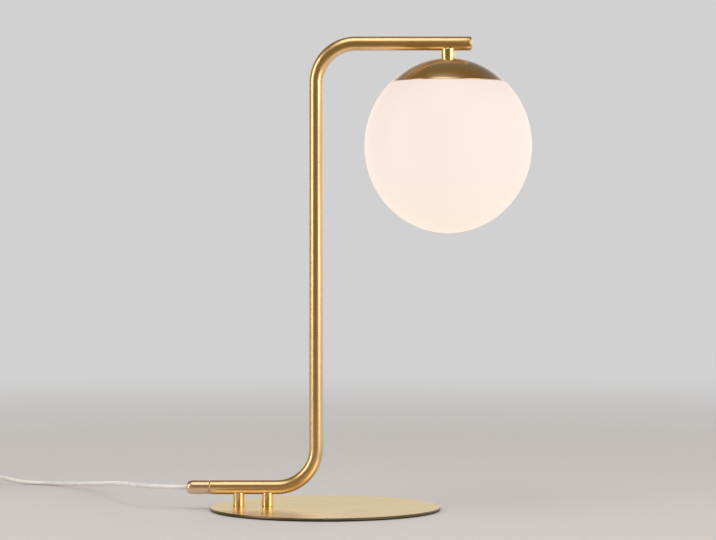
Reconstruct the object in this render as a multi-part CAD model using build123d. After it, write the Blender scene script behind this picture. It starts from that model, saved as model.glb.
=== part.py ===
from build123d import *
import math
import os

import numpy as np

# Table lamp: a bent brass tube on a thin round base holds an opal glass globe under a dome cap.
# Millimetres. +Z is up and +X runs from the upright towards the globe. The origin is the
# centre of the base's underside, which stands on the table.

# ------------------------------------------------------------------ driving sizes

# Base
BASE_DIAMETER = 206.5
BASE_THICKNESS = 1.8
BASE_EDGE_ROUND = 0.9
BASE_EDGE_CHAMFER = 0.3
PAD_THICKNESS = 1.2
PAD_INSET = 1.0
PAD_HOLE_DIAMETER = 10.0

# Bent tube
TUBE_DIAMETER = 12.7
TUBE_WALL = 1.0
FOOT_AXIS_HEIGHT = 20.2
ARM_AXIS_HEIGHT = 418.0
UPRIGHT_X = -8.2
FOOT_END_X = -103.7
ARM_END_X = 129.7
BEND_RADIUS = 35.5

# Posts between the base and the tube, their screws and the tapped bar inside the tube
POST_DIAMETER = 10.4
POST_WRAP = 2.0
POST_TOP_ROUND = 1.0
POST_FOOT_CHAMFER = 0.4
OUTER_POST_X = -77.6
POST_SPACING = 25.8
BASE_SCREW_DIAMETER = 4.0
BASE_SCREW_HEAD_DIAMETER = 6.4
BASE_SCREW_HEAD_RECESS = 0.2
BASE_SCREW_DRIVE_WIDTH = 2.5
BASE_SCREW_DRIVE_DEPTH = 1.2
SCREW_CLEARANCE = 0.2
BAR_LENGTH = 44.0
BAR_HEIGHT = 2.9
BAR_CLEARANCE = 0.1

# Plug in the arm's open end
PLUG_DOME = 2.6
PLUG_EDGE = 0.5
PLUG_SPIGOT_LENGTH = 8.0

# Gland on the foot's open end
GLAND_DIAMETER = 12.4
GLAND_LENGTH = 20.4
GLAND_TIP_DIAMETER = 6.4
GLAND_ROUND_LENGTH = 5.2
GLAND_SEAM_CHAMFER = 0.35
GLAND_SPIGOT_LENGTH = 9.0
GLAND_SPIGOT_BORE = 6.0
GRIP_DIAMETER = 8.4
GRIP_LENGTH = 9.0
GRIP_SLOT = 1.0

# Stem, threaded tube, spacer, washer and nut that hang the cap from the arm
HANGER_X = 110.2
STEM_DIAMETER = 13.0
STEM_LENGTH = 6.4
STEM_WRAP = 2.5
STEM_TOP_ROUND = 1.4
NIPPLE_DIAMETER = 8.0
NIPPLE_BORE = 5.2
NIPPLE_GRIP = 4.6
SPACER_DIAMETER = 12.0
SPACER_LENGTH = 6.2
WASHER_DIAMETER = 14.0
WASHER_THICKNESS = 0.8
NUT_ACROSS_FLATS = 13.0
NUT_THICKNESS = 4.0
NIPPLE_PROUD = 1.0

# Dome cap
CAP_SPHERE_RADIUS = 70.4
CAP_RIM_RADIUS = 50.8
CAP_WALL = 0.8
CAP_FLAT_MARGIN = 0.3

# Gallery under the cap, which locates the glass and carries its clips
GALLERY_WALL = 0.8
GALLERY_TOP_RADIUS = 19.0
GALLERY_CONE_RADIUS = 25.5
GALLERY_WIDER_THAN_NECK = 0.5
GASKET_THICKNESS = 0.6
CLIP_COUNT = 3
CLIP_WIDTH = 7.0
CLIP_WALL = 0.5
CLIP_TAB_LENGTH = 5.0
CLIP_PAD_LENGTH = 2.4
CLIP_PAD_DROP = 3.4
CLIP_TAIL_DROP = 3.2
CLIP_TAIL_TUCK = 2.6
CLIP_GAP = 0.2
RIVET_DIAMETER = 2.4
RIVET_HEAD_DIAMETER = 4.0
RIVET_HEAD_HEIGHT = 0.7

# Glass globe
GLOBE_HALF_WIDTH = 75.0
GLOBE_HALF_HEIGHT = 78.3
GLASS_WALL = 3.0
GLASS_PROUD = 0.6
GLASS_GAP = 0.3
SHOULDER_WIDTH = 1.8
SHOULDER_RISE = 2.6
NECK_RADIUS = 38.0
NECK_HEIGHT = 4.6

# Lampholder and its bracket
HOLDER_LENGTH = 23.6
HOLDER_WIDTH = 13.0
HOLDER_HEIGHT = 18.0
HOLDER_ROUND = 3.0
HOLDER_BELOW_NUT = 7.6
BRACKET_WALL = 1.0
BRACKET_WIDTH = 12.0
BRACKET_LEG_OVERLAP = 9.0
HOLDER_SCREW_DIAMETER = 3.0
HOLDER_SCREW_LENGTH = 6.0
HOLDER_SCREW_HEAD_DIAMETER = 5.2
HOLDER_SCREW_HEAD_HEIGHT = 1.8
PIN_SPACING = 9.0
PIN_THICKNESS = 0.8
PIN_WIDTH = 2.4
PIN_LENGTH = 9.0
CONTACT_GAP = 0.25
CONTACT_WALL = 0.4
CONTACT_WIDTH = 3.0
CONTACT_HEIGHT = 10.0
POCKET_CLEARANCE = 0.15

# Bulb
BULB_BASE_LENGTH = 14.5
BULB_BASE_WIDTH = 9.0
BULB_BASE_HEIGHT = 14.0
BULB_SEAT_GAP = 0.3
BULB_DIAMETER = 15.0
BULB_LENGTH = 34.0
BULB_WALL = 0.9
BULB_CORE_WIDTH = 5.0
BULB_CORE_LENGTH = 24.0

# Insulated cores inside the tube
CORE_DIAMETER = 1.6
CORE_SPACING = 2.0
CORE_RISE = 1.7
CORE_TURN_RADIUS = 6.0
CORE_FAN_LENGTH = 2.2

# Lead, its switch, its coil and its plug
LEAD_DIAMETER = 4.0
LEAD_LENGTH = 1800.0
LEAD_CLEARANCE = 0.2
SWITCH_LENGTH = 60.0
SWITCH_WIDTH = 26.0
SWITCH_HEIGHT = 17.0
SWITCH_WALL = 1.8
SWITCH_ROUND = 4.0
SWITCH_TUCK = 8.0
ROCKER_LENGTH = 16.0
ROCKER_WIDTH = 9.0
ROCKER_TILT = 8.0
ROCKER_GAP = 0.8
PIVOT_DIAMETER = 2.0
PIVOT_CLEARANCE = 0.06
SWITCH_SCREW_DIAMETER = 2.9
SWITCH_SCREW_HEAD = 5.0
SWITCH_SCREW_INSET = 10.0
SWITCH_BOSS_DIAMETER = 6.4
COIL_GAP = 0.5
COIL_LAYERS = 4
TIE_WIDTH = 6.0
TIE_WALL = 0.8
TIE_GAP = 0.5
PLUG_BODY_LENGTH = 35.0
PLUG_BODY_WIDTH = 35.3
PLUG_BODY_NECK = 18.0
PLUG_BODY_HEIGHT = 13.7
PLUG_BODY_ROUND = 1.6
PLUG_PIN_DIAMETER = 4.0
PLUG_PIN_LENGTH = 19.0
PLUG_PIN_SPACING = 19.0
PLUG_PIN_TUCK = 8.0
BOOT_LENGTH = 20.0
BOOT_DIAMETER = 9.0
BOOT_TIP_DIAMETER = 5.6

# A seat between two pieces that touch, and a thread shown plain
SEAT_GAP = 0.05

# Route of the lead from the gland to the switch: free of the table at first, then lying on it
SUPPLY_ROUTE = [
    (-110.0, 0.0, 20.2),
    (-142.0, 0.0, 20.2),
    (-170.0, 18.0, 20.4),
    (-188.0, 52.0, 19.0),
    (-203.0, 98.0, 14.6),
    (-218.0, 148.0, 9.6),
    (-238.0, 196.0, 5.0),
    (-268.0, 230.0, 2.1),
    (-303.0, 243.0, 2.1),
    (-330.0, 246.0, 8.5),
    (-356.0, 246.0, 8.5),
]
# From the switch to the coil, and from the coil to the plug: run lengths along X
LINK_RUNS = (16.0, 16.0, 9.0)
PLUG_LEAD_RUNS = (14.0, 17.0, 13.0)

# ------------------------------------------------------------------ sizes worked out from those

base_top = PAD_THICKNESS + BASE_THICKNESS
tube_radius = TUBE_DIAMETER / 2
tube_bore_radius = tube_radius - TUBE_WALL
post_xs = (OUTER_POST_X, OUTER_POST_X + POST_SPACING)
bar_top = FOOT_AXIS_HEIGHT - tube_bore_radius + BAR_HEIGHT
gland_tip_x = FOOT_END_X - GLAND_LENGTH

cap_top = ARM_AXIS_HEIGHT - tube_radius - STEM_LENGTH
cap_flat_radius = STEM_DIAMETER / 2 + CAP_FLAT_MARGIN
cap_centre_z = cap_top - math.sqrt(CAP_SPHERE_RADIUS**2 - cap_flat_radius**2)
cap_rim_z = cap_centre_z + math.sqrt(CAP_SPHERE_RADIUS**2 - CAP_RIM_RADIUS**2)
gallery_top = cap_top - CAP_WALL - SPACER_LENGTH
bracket_top = gallery_top - GALLERY_WALL
washer_top = bracket_top - BRACKET_WALL
nut_top = washer_top - WASHER_THICKNESS
nut_bottom = nut_top - NUT_THICKNESS
nipple_bottom = nut_bottom - NIPPLE_PROUD
nipple_top = cap_top + NIPPLE_GRIP

shoulder_radius = CAP_RIM_RADIUS + GLASS_PROUD
shoulder_z = cap_rim_z - GLASS_GAP
globe_centre_z = shoulder_z - GLOBE_HALF_HEIGHT * math.sqrt(1 - (shoulder_radius / GLOBE_HALF_WIDTH) ** 2)
neck_foot_z = shoulder_z + SHOULDER_RISE
neck_top = neck_foot_z + NECK_HEIGHT
neck_bore_radius = NECK_RADIUS - GLASS_WALL
gasket_bottom = neck_top + GLASS_GAP
flange_bottom = gasket_bottom + GASKET_THICKNESS

holder_top = nut_bottom - HOLDER_BELOW_NUT
holder_bottom = holder_top - HOLDER_HEIGHT
holder_screw_z = holder_top - BRACKET_LEG_OVERLAP / 2
contact_top = holder_bottom + CONTACT_HEIGHT
bulb_top = holder_bottom - BULB_SEAT_GAP
bulb_glass_top = bulb_top - BULB_BASE_HEIGHT

switch_axis_z = SWITCH_HEIGHT / 2
switch_y = SUPPLY_ROUTE[-1][1]
switch_near_x = SUPPLY_ROUTE[-1][0] + SWITCH_TUCK
switch_far_x = switch_near_x - SWITCH_LENGTH
switch_mid_x = (switch_near_x + switch_far_x) / 2
rocker_pivot_z = SWITCH_HEIGHT - 3.2
coil_pitch = LEAD_DIAMETER + COIL_GAP
coil_axis_z = TIE_WALL + TIE_GAP + LEAD_DIAMETER / 2
plug_axis_z = PLUG_BODY_HEIGHT / 2


# ------------------------------------------------------------------ shared shapes


def disc(radius, low, high, x=0.0, y=0.0):
    """An upright cylinder between two heights."""
    return Pos(x, y, (low + high) / 2) * Cylinder(radius, high - low)


def ring(radius, bore_radius, low, high, x=0.0, y=0.0):
    """An upright tube between two heights."""
    return disc(radius, low, high, x, y) - disc(bore_radius, low - 1, high + 1, x, y)


def bar_x(radius, x0, x1, y, z):
    """A cylinder along X between two places."""
    return Pos((x0 + x1) / 2, y, z) * Rot(0, 90, 0) * Cylinder(radius, abs(x1 - x0))


def block(x0, x1, y0, y1, z0, z1):
    """A box between two corners."""
    return Pos((x0 + x1) / 2, (y0 + y1) / 2, (z0 + z1) / 2) * Box(x1 - x0, y1 - y0, z1 - z0)


def turned(*lines):
    """A solid turned about Z from a closed outline in the XZ plane."""
    edges = [edge for line in lines for edge in line.edges()]
    return revolve(Face(Wire(edges)), Axis.Z)


def outline(*points):
    """Straight lines through points of radius and height."""
    return Polyline(*[(radius, 0, height) for radius, height in points])


def arc(start, middle, end):
    """An arc through three points of radius and height."""
    return ThreePointArc(*[(radius, 0, height) for radius, height in (start, middle, end)])


def ellipse_arc(centre, half_width, half_height, start, size):
    """Part of an upright ellipse about a centre of radius and height, by its angles in degrees."""
    place = Plane.XZ * Pos(*centre)
    return place * EllipticalCenterArc((0, 0), half_width, half_height, start, arc_size=size)


def swept(path, radius):
    """A round bar along a path."""
    start = Plane(origin=path @ 0, z_dir=path % 0)
    return sweep(start * Circle(radius), path=path)


def smooth_radii(points):
    """One arc radius for each corner: 0.45 of the shorter run over the tangent of half the turn."""
    radii = []
    for before, corner, after in zip(points, points[1:], points[2:]):
        run_in = Vector(*corner) - Vector(*before)
        run_out = Vector(*after) - Vector(*corner)
        half_turn = math.radians(run_in.get_angle(run_out) / 2)
        radii.append(0.45 * min(run_in.length, run_out.length) / math.tan(half_turn))
    return radii


def lead_path(name, points):
    """The line of a free stretch of the lead; its radii are printed."""
    radii = smooth_radii(points)
    path = FilletPolyline(*points, radius=radii)
    print(f"{name}: {path.length:.0f} mm, radii {[round(radius) for radius in radii]}")
    return path


def lead_tube(name, path):
    """The lead along a path; its volume is printed against its section times its length."""
    tube = swept(path, LEAD_DIAMETER / 2)
    expected = math.pi * (LEAD_DIAMETER / 2) ** 2 * path.length
    print(f"{name}: volume {tube.volume:.0f}, section x length {expected:.0f}")
    return tube


# ------------------------------------------------------------------ base


def base_pad():
    """Thin black pad glued under the plate, holed where the screws go in."""
    pad = disc(BASE_DIAMETER / 2 - PAD_INSET, 0, PAD_THICKNESS)
    for x in post_xs:
        pad -= disc(PAD_HOLE_DIAMETER / 2, -1, base_top, x)
    return pad


def screw_head_cone(x, grow):
    """The countersunk shape of a base screw's head, or of its seat when grown."""
    top_radius = BASE_SCREW_DIAMETER / 2 + grow
    head_radius = BASE_SCREW_HEAD_DIAMETER / 2 + grow
    head_z = PAD_THICKNESS + BASE_SCREW_HEAD_RECESS
    cone_height = (BASE_SCREW_HEAD_DIAMETER - BASE_SCREW_DIAMETER) / 2
    cone = Pos(x, 0, head_z + cone_height / 2) * Cone(head_radius, top_radius, cone_height)
    return cone


def base_plate():
    """Round plate with a softly rounded top edge and two countersunk holes."""
    radius = BASE_DIAMETER / 2
    plate = disc(radius, PAD_THICKNESS, base_top)
    plate = fillet(plate.edges().sort_by(Axis.Z)[-1], BASE_EDGE_ROUND)
    plate = chamfer(plate.edges().sort_by(Axis.Z)[0], BASE_EDGE_CHAMFER)
    hole_radius = BASE_SCREW_DIAMETER / 2 + SCREW_CLEARANCE
    mouth_radius = BASE_SCREW_HEAD_DIAMETER / 2 + SEAT_GAP
    for x in post_xs:
        plate -= disc(hole_radius, 0, base_top + 1, x)
        plate -= screw_head_cone(x, SEAT_GAP)
        plate -= disc(mouth_radius, 0, PAD_THICKNESS + BASE_SCREW_HEAD_RECESS + 0.01, x)
    return plate


def coped_post(radius, low, axis_height, wrap, top_round, x):
    """A round post up to a bar along X, whose underside it wraps, with a rounded top edge."""
    top = axis_height - tube_radius + wrap
    post = disc(radius, low, top, x)
    post = fillet(post.edges().sort_by(Axis.Z)[-1], top_round)
    return post - bar_x(tube_radius + SEAT_GAP, x - 2 * radius, x + 2 * radius, 0, axis_height)


def base_post(x):
    """Round spacer, coped at its top to sit on the tube."""
    post = coped_post(POST_DIAMETER / 2, base_top, FOOT_AXIS_HEIGHT, POST_WRAP, POST_TOP_ROUND, x)
    post = chamfer(post.edges().sort_by(Axis.Z)[0], POST_FOOT_CHAMFER)
    return post - disc(BASE_SCREW_DIAMETER / 2 + SCREW_CLEARANCE, base_top - 1, FOOT_AXIS_HEIGHT, x)


def base_screws():
    """Two countersunk screws that pull the tube, the posts and the plate together."""
    screws = []
    head_z = PAD_THICKNESS + BASE_SCREW_HEAD_RECESS
    for x in post_xs:
        screw = disc(BASE_SCREW_DIAMETER / 2, head_z, bar_top, x)
        screw += screw_head_cone(x, 0)
        drive = RegularPolygon(BASE_SCREW_DRIVE_WIDTH / 2, 6, major_radius=False)
        screw -= Pos(x, 0, head_z) * extrude(drive, BASE_SCREW_DRIVE_DEPTH)
        screws.append(screw)
    return Compound(children=screws)


def tapped_bar():
    """Bar inside the foot of the tube that both base screws thread into."""
    middle = (post_xs[0] + post_xs[1]) / 2
    x0 = middle - BAR_LENGTH / 2
    x1 = middle + BAR_LENGTH / 2
    radius = tube_bore_radius - BAR_CLEARANCE
    bar = bar_x(radius, x0, x1, 0, FOOT_AXIS_HEIGHT)
    bar &= block(x0, x1, -radius, radius, FOOT_AXIS_HEIGHT - radius, bar_top)
    for x in post_xs:
        bar -= disc(BASE_SCREW_DIAMETER / 2 + SEAT_GAP, 0, FOOT_AXIS_HEIGHT, x)
    return bar


# ------------------------------------------------------------------ bent tube and its ends


def lamp_tube():
    """One bent tube: foot, upright and arm."""
    corners = [
        (FOOT_END_X, 0, FOOT_AXIS_HEIGHT),
        (UPRIGHT_X, 0, FOOT_AXIS_HEIGHT),
        (UPRIGHT_X, 0, ARM_AXIS_HEIGHT),
        (ARM_END_X, 0, ARM_AXIS_HEIGHT),
    ]
    path = FilletPolyline(*corners, radius=BEND_RADIUS)
    tube = swept(path, tube_radius) - swept(path, tube_bore_radius)
    for x in post_xs:
        tube -= disc(BASE_SCREW_DIAMETER / 2 + SCREW_CLEARANCE, base_top, FOOT_AXIS_HEIGHT, x)
    return tube - disc(NIPPLE_BORE / 2, cap_top, ARM_AXIS_HEIGHT, HANGER_X)


def arm_end_plug():
    """Domed plug pressed into the arm's open end."""
    rise = PLUG_DOME - PLUG_EDGE
    sphere_radius = (tube_radius**2 + rise**2) / (2 * rise)
    half_radius = tube_radius / 2
    half_z = PLUG_DOME - sphere_radius + math.sqrt(sphere_radius**2 - half_radius**2)
    head = turned(
        arc((tube_radius, PLUG_EDGE), (half_radius, half_z), (0, PLUG_DOME)),
        outline((0, PLUG_DOME), (0, 0), (tube_radius, 0), (tube_radius, PLUG_EDGE)),
    )
    plug = head + disc(tube_bore_radius - BAR_CLEARANCE, -PLUG_SPIGOT_LENGTH, 0)
    return Pos(ARM_END_X, 0, ARM_AXIS_HEIGHT) * Rot(0, 90, 0) * plug


def cord_gland():
    """Round-nosed end piece that the lead comes out of."""
    radius = GLAND_DIAMETER / 2
    tip_radius = GLAND_TIP_DIAMETER / 2
    round_z = GLAND_LENGTH - GLAND_ROUND_LENGTH
    spigot_radius = tube_bore_radius - BAR_CLEARANCE
    grip_pocket_radius = GRIP_DIAMETER / 2 + SEAT_GAP
    lead_hole_radius = LEAD_DIAMETER / 2 + LEAD_CLEARANCE
    grip_floor = GLAND_LENGTH - GLAND_ROUND_LENGTH
    gland = turned(
        ellipse_arc((tip_radius, round_z), radius - tip_radius, GLAND_ROUND_LENGTH, 0, 90),
        outline(
            (tip_radius, GLAND_LENGTH),
            (lead_hole_radius, GLAND_LENGTH),
            (lead_hole_radius, grip_floor),
            (grip_pocket_radius, grip_floor),
            (grip_pocket_radius, grip_floor - GRIP_LENGTH),
            (GLAND_SPIGOT_BORE / 2, grip_floor - GRIP_LENGTH),
            (GLAND_SPIGOT_BORE / 2, -GLAND_SPIGOT_LENGTH),
            (spigot_radius, -GLAND_SPIGOT_LENGTH),
            (spigot_radius, 0),
            (radius - GLAND_SEAM_CHAMFER, 0),
            (radius, GLAND_SEAM_CHAMFER),
            (radius, round_z),
        ),
    )
    return Pos(FOOT_END_X, 0, FOOT_AXIS_HEIGHT) * Rot(0, -90, 0) * gland


def cord_grip():
    """Split nylon bush that clamps the lead inside the gland."""
    low = GLAND_LENGTH - GLAND_ROUND_LENGTH - GRIP_LENGTH + SEAT_GAP
    high = GLAND_LENGTH - GLAND_ROUND_LENGTH - SEAT_GAP
    grip = ring(GRIP_DIAMETER / 2, LEAD_DIAMETER / 2 + SEAT_GAP, low, high)
    grip -= block(0, GRIP_DIAMETER, -GRIP_SLOT / 2, GRIP_SLOT / 2, low - 1, high + 1)
    return Pos(FOOT_END_X, 0, FOOT_AXIS_HEIGHT) * Rot(0, -90, 0) * grip


def core(side):
    """One insulated core, from the lead's end in the gland to its contact in the lampholder."""
    y = side * CORE_SPACING / 2
    fan_y = side * PIN_SPACING / 2
    start_x = SUPPLY_ROUTE[0][0]
    foot_z = FOOT_AXIS_HEIGHT + CORE_RISE
    upright_x = UPRIGHT_X - CORE_RISE
    arm_z = ARM_AXIS_HEIGHT + CORE_RISE
    fan_top = nipple_bottom - NIPPLE_PROUD
    points = [
        (start_x, y, FOOT_AXIS_HEIGHT),
        (start_x + 6, y, FOOT_AXIS_HEIGHT),
        (start_x + 16, y, foot_z),
        (upright_x, y, foot_z),
        (upright_x, y, arm_z),
        (HANGER_X, y, arm_z),
        (HANGER_X, y, fan_top),
        (HANGER_X, fan_y, fan_top - CORE_FAN_LENGTH),
        (HANGER_X, fan_y, contact_top + SEAT_GAP),
    ]
    radii = [
        8.0,
        8.0,
        BEND_RADIUS - CORE_RISE,
        BEND_RADIUS + CORE_RISE,
        CORE_TURN_RADIUS,
        1.5,
        1.5,
    ]
    return swept(FilletPolyline(*points, radius=radii), CORE_DIAMETER / 2)


# ------------------------------------------------------------------ hanger and cap


def hanger_stem():
    """Short round stem, coped to the underside of the arm and tapped for the threaded tube."""
    stem = coped_post(STEM_DIAMETER / 2, cap_top, ARM_AXIS_HEIGHT, STEM_WRAP, STEM_TOP_ROUND, HANGER_X)
    stem -= disc(NIPPLE_DIAMETER / 2 + SEAT_GAP, cap_top - 1, nipple_top + SEAT_GAP, HANGER_X)
    return stem - disc(NIPPLE_BORE / 2, cap_top, ARM_AXIS_HEIGHT, HANGER_X)


def threaded_tube():
    """Hollow threaded tube that clamps the cap, spacer, gallery and bracket together."""
    return ring(NIPPLE_DIAMETER / 2, NIPPLE_BORE / 2, nipple_bottom, nipple_top, HANGER_X)


def cap_spacer():
    """Tube between the cap and the gallery."""
    bore = NIPPLE_DIAMETER / 2 + SCREW_CLEARANCE
    return ring(SPACER_DIAMETER / 2, bore, gallery_top, cap_top - CAP_WALL, HANGER_X)


def lock_washer():
    """Washer under the nut."""
    bore = NIPPLE_DIAMETER / 2 + SCREW_CLEARANCE
    return ring(WASHER_DIAMETER / 2, bore, nut_top, washer_top, HANGER_X)


def clamp_nut():
    """Hexagon nut on the threaded tube."""
    hexagon = RegularPolygon(NUT_ACROSS_FLATS / 2, 6, major_radius=False)
    nut = Pos(HANGER_X, 0, nut_bottom) * extrude(hexagon, NUT_THICKNESS)
    return nut - disc(NIPPLE_DIAMETER / 2 + SEAT_GAP, nut_bottom - 1, nut_top + 1, HANGER_X)


def dome_arc(radius_at_top, radius_at_rim, sphere_radius):
    """An arc of the cap's sphere, from its flat to its rim."""
    places = []
    for radius in (radius_at_top, (radius_at_top + radius_at_rim) / 2, radius_at_rim):
        places.append((radius, cap_centre_z + math.sqrt(sphere_radius**2 - radius**2)))
    return arc(*places)


def dome_cap():
    """Spun cap: a spherical shell with a small flat under the stem and a plain rim."""
    inner_sphere = CAP_SPHERE_RADIUS - CAP_WALL
    hole = NIPPLE_DIAMETER / 2 + SCREW_CLEARANCE
    flat_inner_z = cap_top - CAP_WALL
    inner_flat_radius = math.sqrt(inner_sphere**2 - (flat_inner_z - cap_centre_z) ** 2)
    inner_rim_radius = math.sqrt(inner_sphere**2 - (cap_rim_z - cap_centre_z) ** 2)
    outer = dome_arc(cap_flat_radius, CAP_RIM_RADIUS, CAP_SPHERE_RADIUS)
    inner = dome_arc(inner_flat_radius, inner_rim_radius, inner_sphere)
    cap = turned(
        outer,
        outline((CAP_RIM_RADIUS, cap_rim_z), (inner_rim_radius, cap_rim_z)),
        inner,
        outline(
            (inner_flat_radius, flat_inner_z),
            (hole, flat_inner_z),
            (hole, cap_top),
            (cap_flat_radius, cap_top),
        ),
    )
    return Pos(HANGER_X, 0, 0) * cap


def gallery():
    """Pressed dish under the cap: a flat centre, a cone and a flange over the glass neck."""
    rim = NECK_RADIUS + GALLERY_WIDER_THAN_NECK
    hole = NIPPLE_DIAMETER / 2 + SCREW_CLEARANCE
    flange_top = flange_bottom + GALLERY_WALL
    dish = turned(
        outline(
            (hole, gallery_top),
            (GALLERY_TOP_RADIUS, gallery_top),
            (GALLERY_CONE_RADIUS, flange_top),
            (rim, flange_top),
            (rim, flange_bottom),
            (GALLERY_CONE_RADIUS - GALLERY_WALL / 2, flange_bottom),
            (GALLERY_TOP_RADIUS - GALLERY_WALL / 2, bracket_top),
            (hole, bracket_top),
            (hole, gallery_top),
        )
    )
    dish = Pos(HANGER_X, 0, 0) * dish
    for place in clip_places():
        dish -= place * disc(RIVET_DIAMETER / 2 + SEAT_GAP, flange_bottom - 1, flange_top + 1, rivet_radius())
    return dish


def clip_places():
    """The clips stand evenly round the hanger's axis."""
    return [Pos(HANGER_X, 0, 0) * Rot(0, 0, 90 + 360 * k / CLIP_COUNT) for k in range(CLIP_COUNT)]


def rivet_radius():
    """How far each clip's rivet lies from the hanger's axis."""
    return GALLERY_CONE_RADIUS + CLIP_TAB_LENGTH / 2 + RIVET_DIAMETER / 4


def globe_clip(place):
    """Leaf spring: a riveted tab, a leg out to the glass neck and a tucked tail."""
    pad_radius = math.sqrt((neck_bore_radius - CLIP_GAP) ** 2 - (CLIP_WIDTH / 2) ** 2)
    tab_start = GALLERY_CONE_RADIUS
    tab_end = tab_start + CLIP_TAB_LENGTH + RIVET_DIAMETER / 2
    pad_top = flange_bottom - CLIP_PAD_DROP
    pad_low = pad_top - CLIP_PAD_LENGTH
    tail = pad_low - CLIP_TAIL_DROP
    wall = CLIP_WALL
    strip = Polyline(
        (tab_start, 0, flange_bottom),
        (tab_end, 0, flange_bottom),
        (pad_radius, 0, pad_top),
        (pad_radius, 0, pad_low),
        (pad_radius - CLIP_TAIL_TUCK, 0, tail),
        (pad_radius - CLIP_TAIL_TUCK - wall, 0, tail),
        (pad_radius - wall, 0, pad_low),
        (pad_radius - wall, 0, pad_top),
        (tab_end - wall, 0, flange_bottom - wall),
        (tab_start, 0, flange_bottom - wall),
        close=True,
    )
    clip = Pos(0, -CLIP_WIDTH / 2, 0) * extrude(Face(strip), CLIP_WIDTH, dir=(0, 1, 0))
    clip -= disc(RIVET_DIAMETER / 2 + SEAT_GAP, flange_bottom - 2, flange_bottom + 1, rivet_radius())
    return place * clip


def clip_rivets():
    """One rivet through each clip and the flange."""
    rivets = []
    low = flange_bottom - CLIP_WALL
    high = flange_bottom + GALLERY_WALL
    for place in clip_places():
        x = rivet_radius()
        rivet = disc(RIVET_DIAMETER / 2, low, high, x)
        rivet += disc(RIVET_HEAD_DIAMETER / 2, low - RIVET_HEAD_HEIGHT, low, x)
        rivet += disc(RIVET_HEAD_DIAMETER / 2, high, high + RIVET_HEAD_HEIGHT / 2, x)
        rivets.append(place * rivet)
    return Compound(children=rivets)


def globe_gasket():
    """Silicone ring between the flange and the glass neck."""
    outer = NECK_RADIUS + GALLERY_WIDER_THAN_NECK
    return ring(outer, neck_bore_radius, gasket_bottom, flange_bottom, HANGER_X)


# ------------------------------------------------------------------ lampholder and bulb


def holder_bracket():
    """Bridge clamped under the gallery, with a leg down each side of the lampholder."""
    half = HOLDER_LENGTH / 2 + SEAT_GAP
    leg_low = holder_top - BRACKET_LEG_OVERLAP
    x0 = HANGER_X - BRACKET_WIDTH / 2
    x1 = HANGER_X + BRACKET_WIDTH / 2
    bracket = block(x0, x1, -half - BRACKET_WALL, half + BRACKET_WALL, washer_top, bracket_top)
    for side in (-1, 1):
        near = side * half
        far = side * (half + BRACKET_WALL)
        bracket += block(x0, x1, min(near, far), max(near, far), leg_low, bracket_top)
    bracket -= disc(NIPPLE_DIAMETER / 2 + SCREW_CLEARANCE, washer_top - 1, bracket_top + 1, HANGER_X)
    cross = Pos(HANGER_X, 0, holder_screw_z) * Rot(90, 0, 0)
    return bracket - cross * Cylinder(HOLDER_SCREW_DIAMETER / 2 + SCREW_CLEARANCE, 3 * HOLDER_LENGTH)


def lampholder():
    """Ceramic two-pin lampholder with a pocket for each contact and tapped sides."""
    x0 = HANGER_X - HOLDER_WIDTH / 2
    x1 = HANGER_X + HOLDER_WIDTH / 2
    body = block(x0, x1, -HOLDER_LENGTH / 2, HOLDER_LENGTH / 2, holder_bottom, holder_top)
    body = fillet(body.edges().filter_by(Axis.Z), HOLDER_ROUND)
    pocket_x = CONTACT_WIDTH / 2 + POCKET_CLEARANCE
    pocket_y = PIN_THICKNESS / 2 + CONTACT_GAP + CONTACT_WALL + POCKET_CLEARANCE
    for side in (-1, 1):
        y = side * PIN_SPACING / 2
        body -= block(
            HANGER_X - pocket_x,
            HANGER_X + pocket_x,
            y - pocket_y,
            y + pocket_y,
            holder_bottom - 1,
            contact_top + SEAT_GAP,
        )
        body -= disc(CORE_DIAMETER / 2 + SEAT_GAP, contact_top - 1, holder_top + 1, HANGER_X, y)
        hole = Pos(HANGER_X, side * HOLDER_LENGTH / 2, holder_screw_z) * Rot(90, 0, 0)
        body -= hole * Cylinder(HOLDER_SCREW_DIAMETER / 2 + SEAT_GAP, 2 * (HOLDER_SCREW_LENGTH - 1))
    return body


def holder_contact(side):
    """Folded spring contact: two leaves beside the pin, joined at the top."""
    y = side * PIN_SPACING / 2
    inner = PIN_THICKNESS / 2 + CONTACT_GAP
    outer = inner + CONTACT_WALL
    x0 = HANGER_X - CONTACT_WIDTH / 2
    x1 = HANGER_X + CONTACT_WIDTH / 2
    low = holder_bottom + 1
    fold = block(x0, x1, y - outer, y + outer, low, contact_top)
    return fold - block(x0 - 1, x1 + 1, y - inner, y + inner, low - 1, contact_top - CONTACT_WALL)


def holder_screws():
    """Two small screws that fix the lampholder to its bracket."""
    screws = []
    face = HOLDER_LENGTH / 2 + SEAT_GAP + BRACKET_WALL
    for side in (-1, 1):
        shank_middle = side * (face - HOLDER_SCREW_LENGTH / 2)
        head_middle = side * (face + HOLDER_SCREW_HEAD_HEIGHT / 2)
        turn = Rot(90, 0, 0)
        shank = Pos(HANGER_X, shank_middle, holder_screw_z) * turn
        head = Pos(HANGER_X, head_middle, holder_screw_z) * turn
        screw = shank * Cylinder(HOLDER_SCREW_DIAMETER / 2, HOLDER_SCREW_LENGTH)
        screw += head * Cylinder(HOLDER_SCREW_HEAD_DIAMETER / 2, HOLDER_SCREW_HEAD_HEIGHT)
        screws.append(screw)
    return Compound(children=screws)


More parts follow.
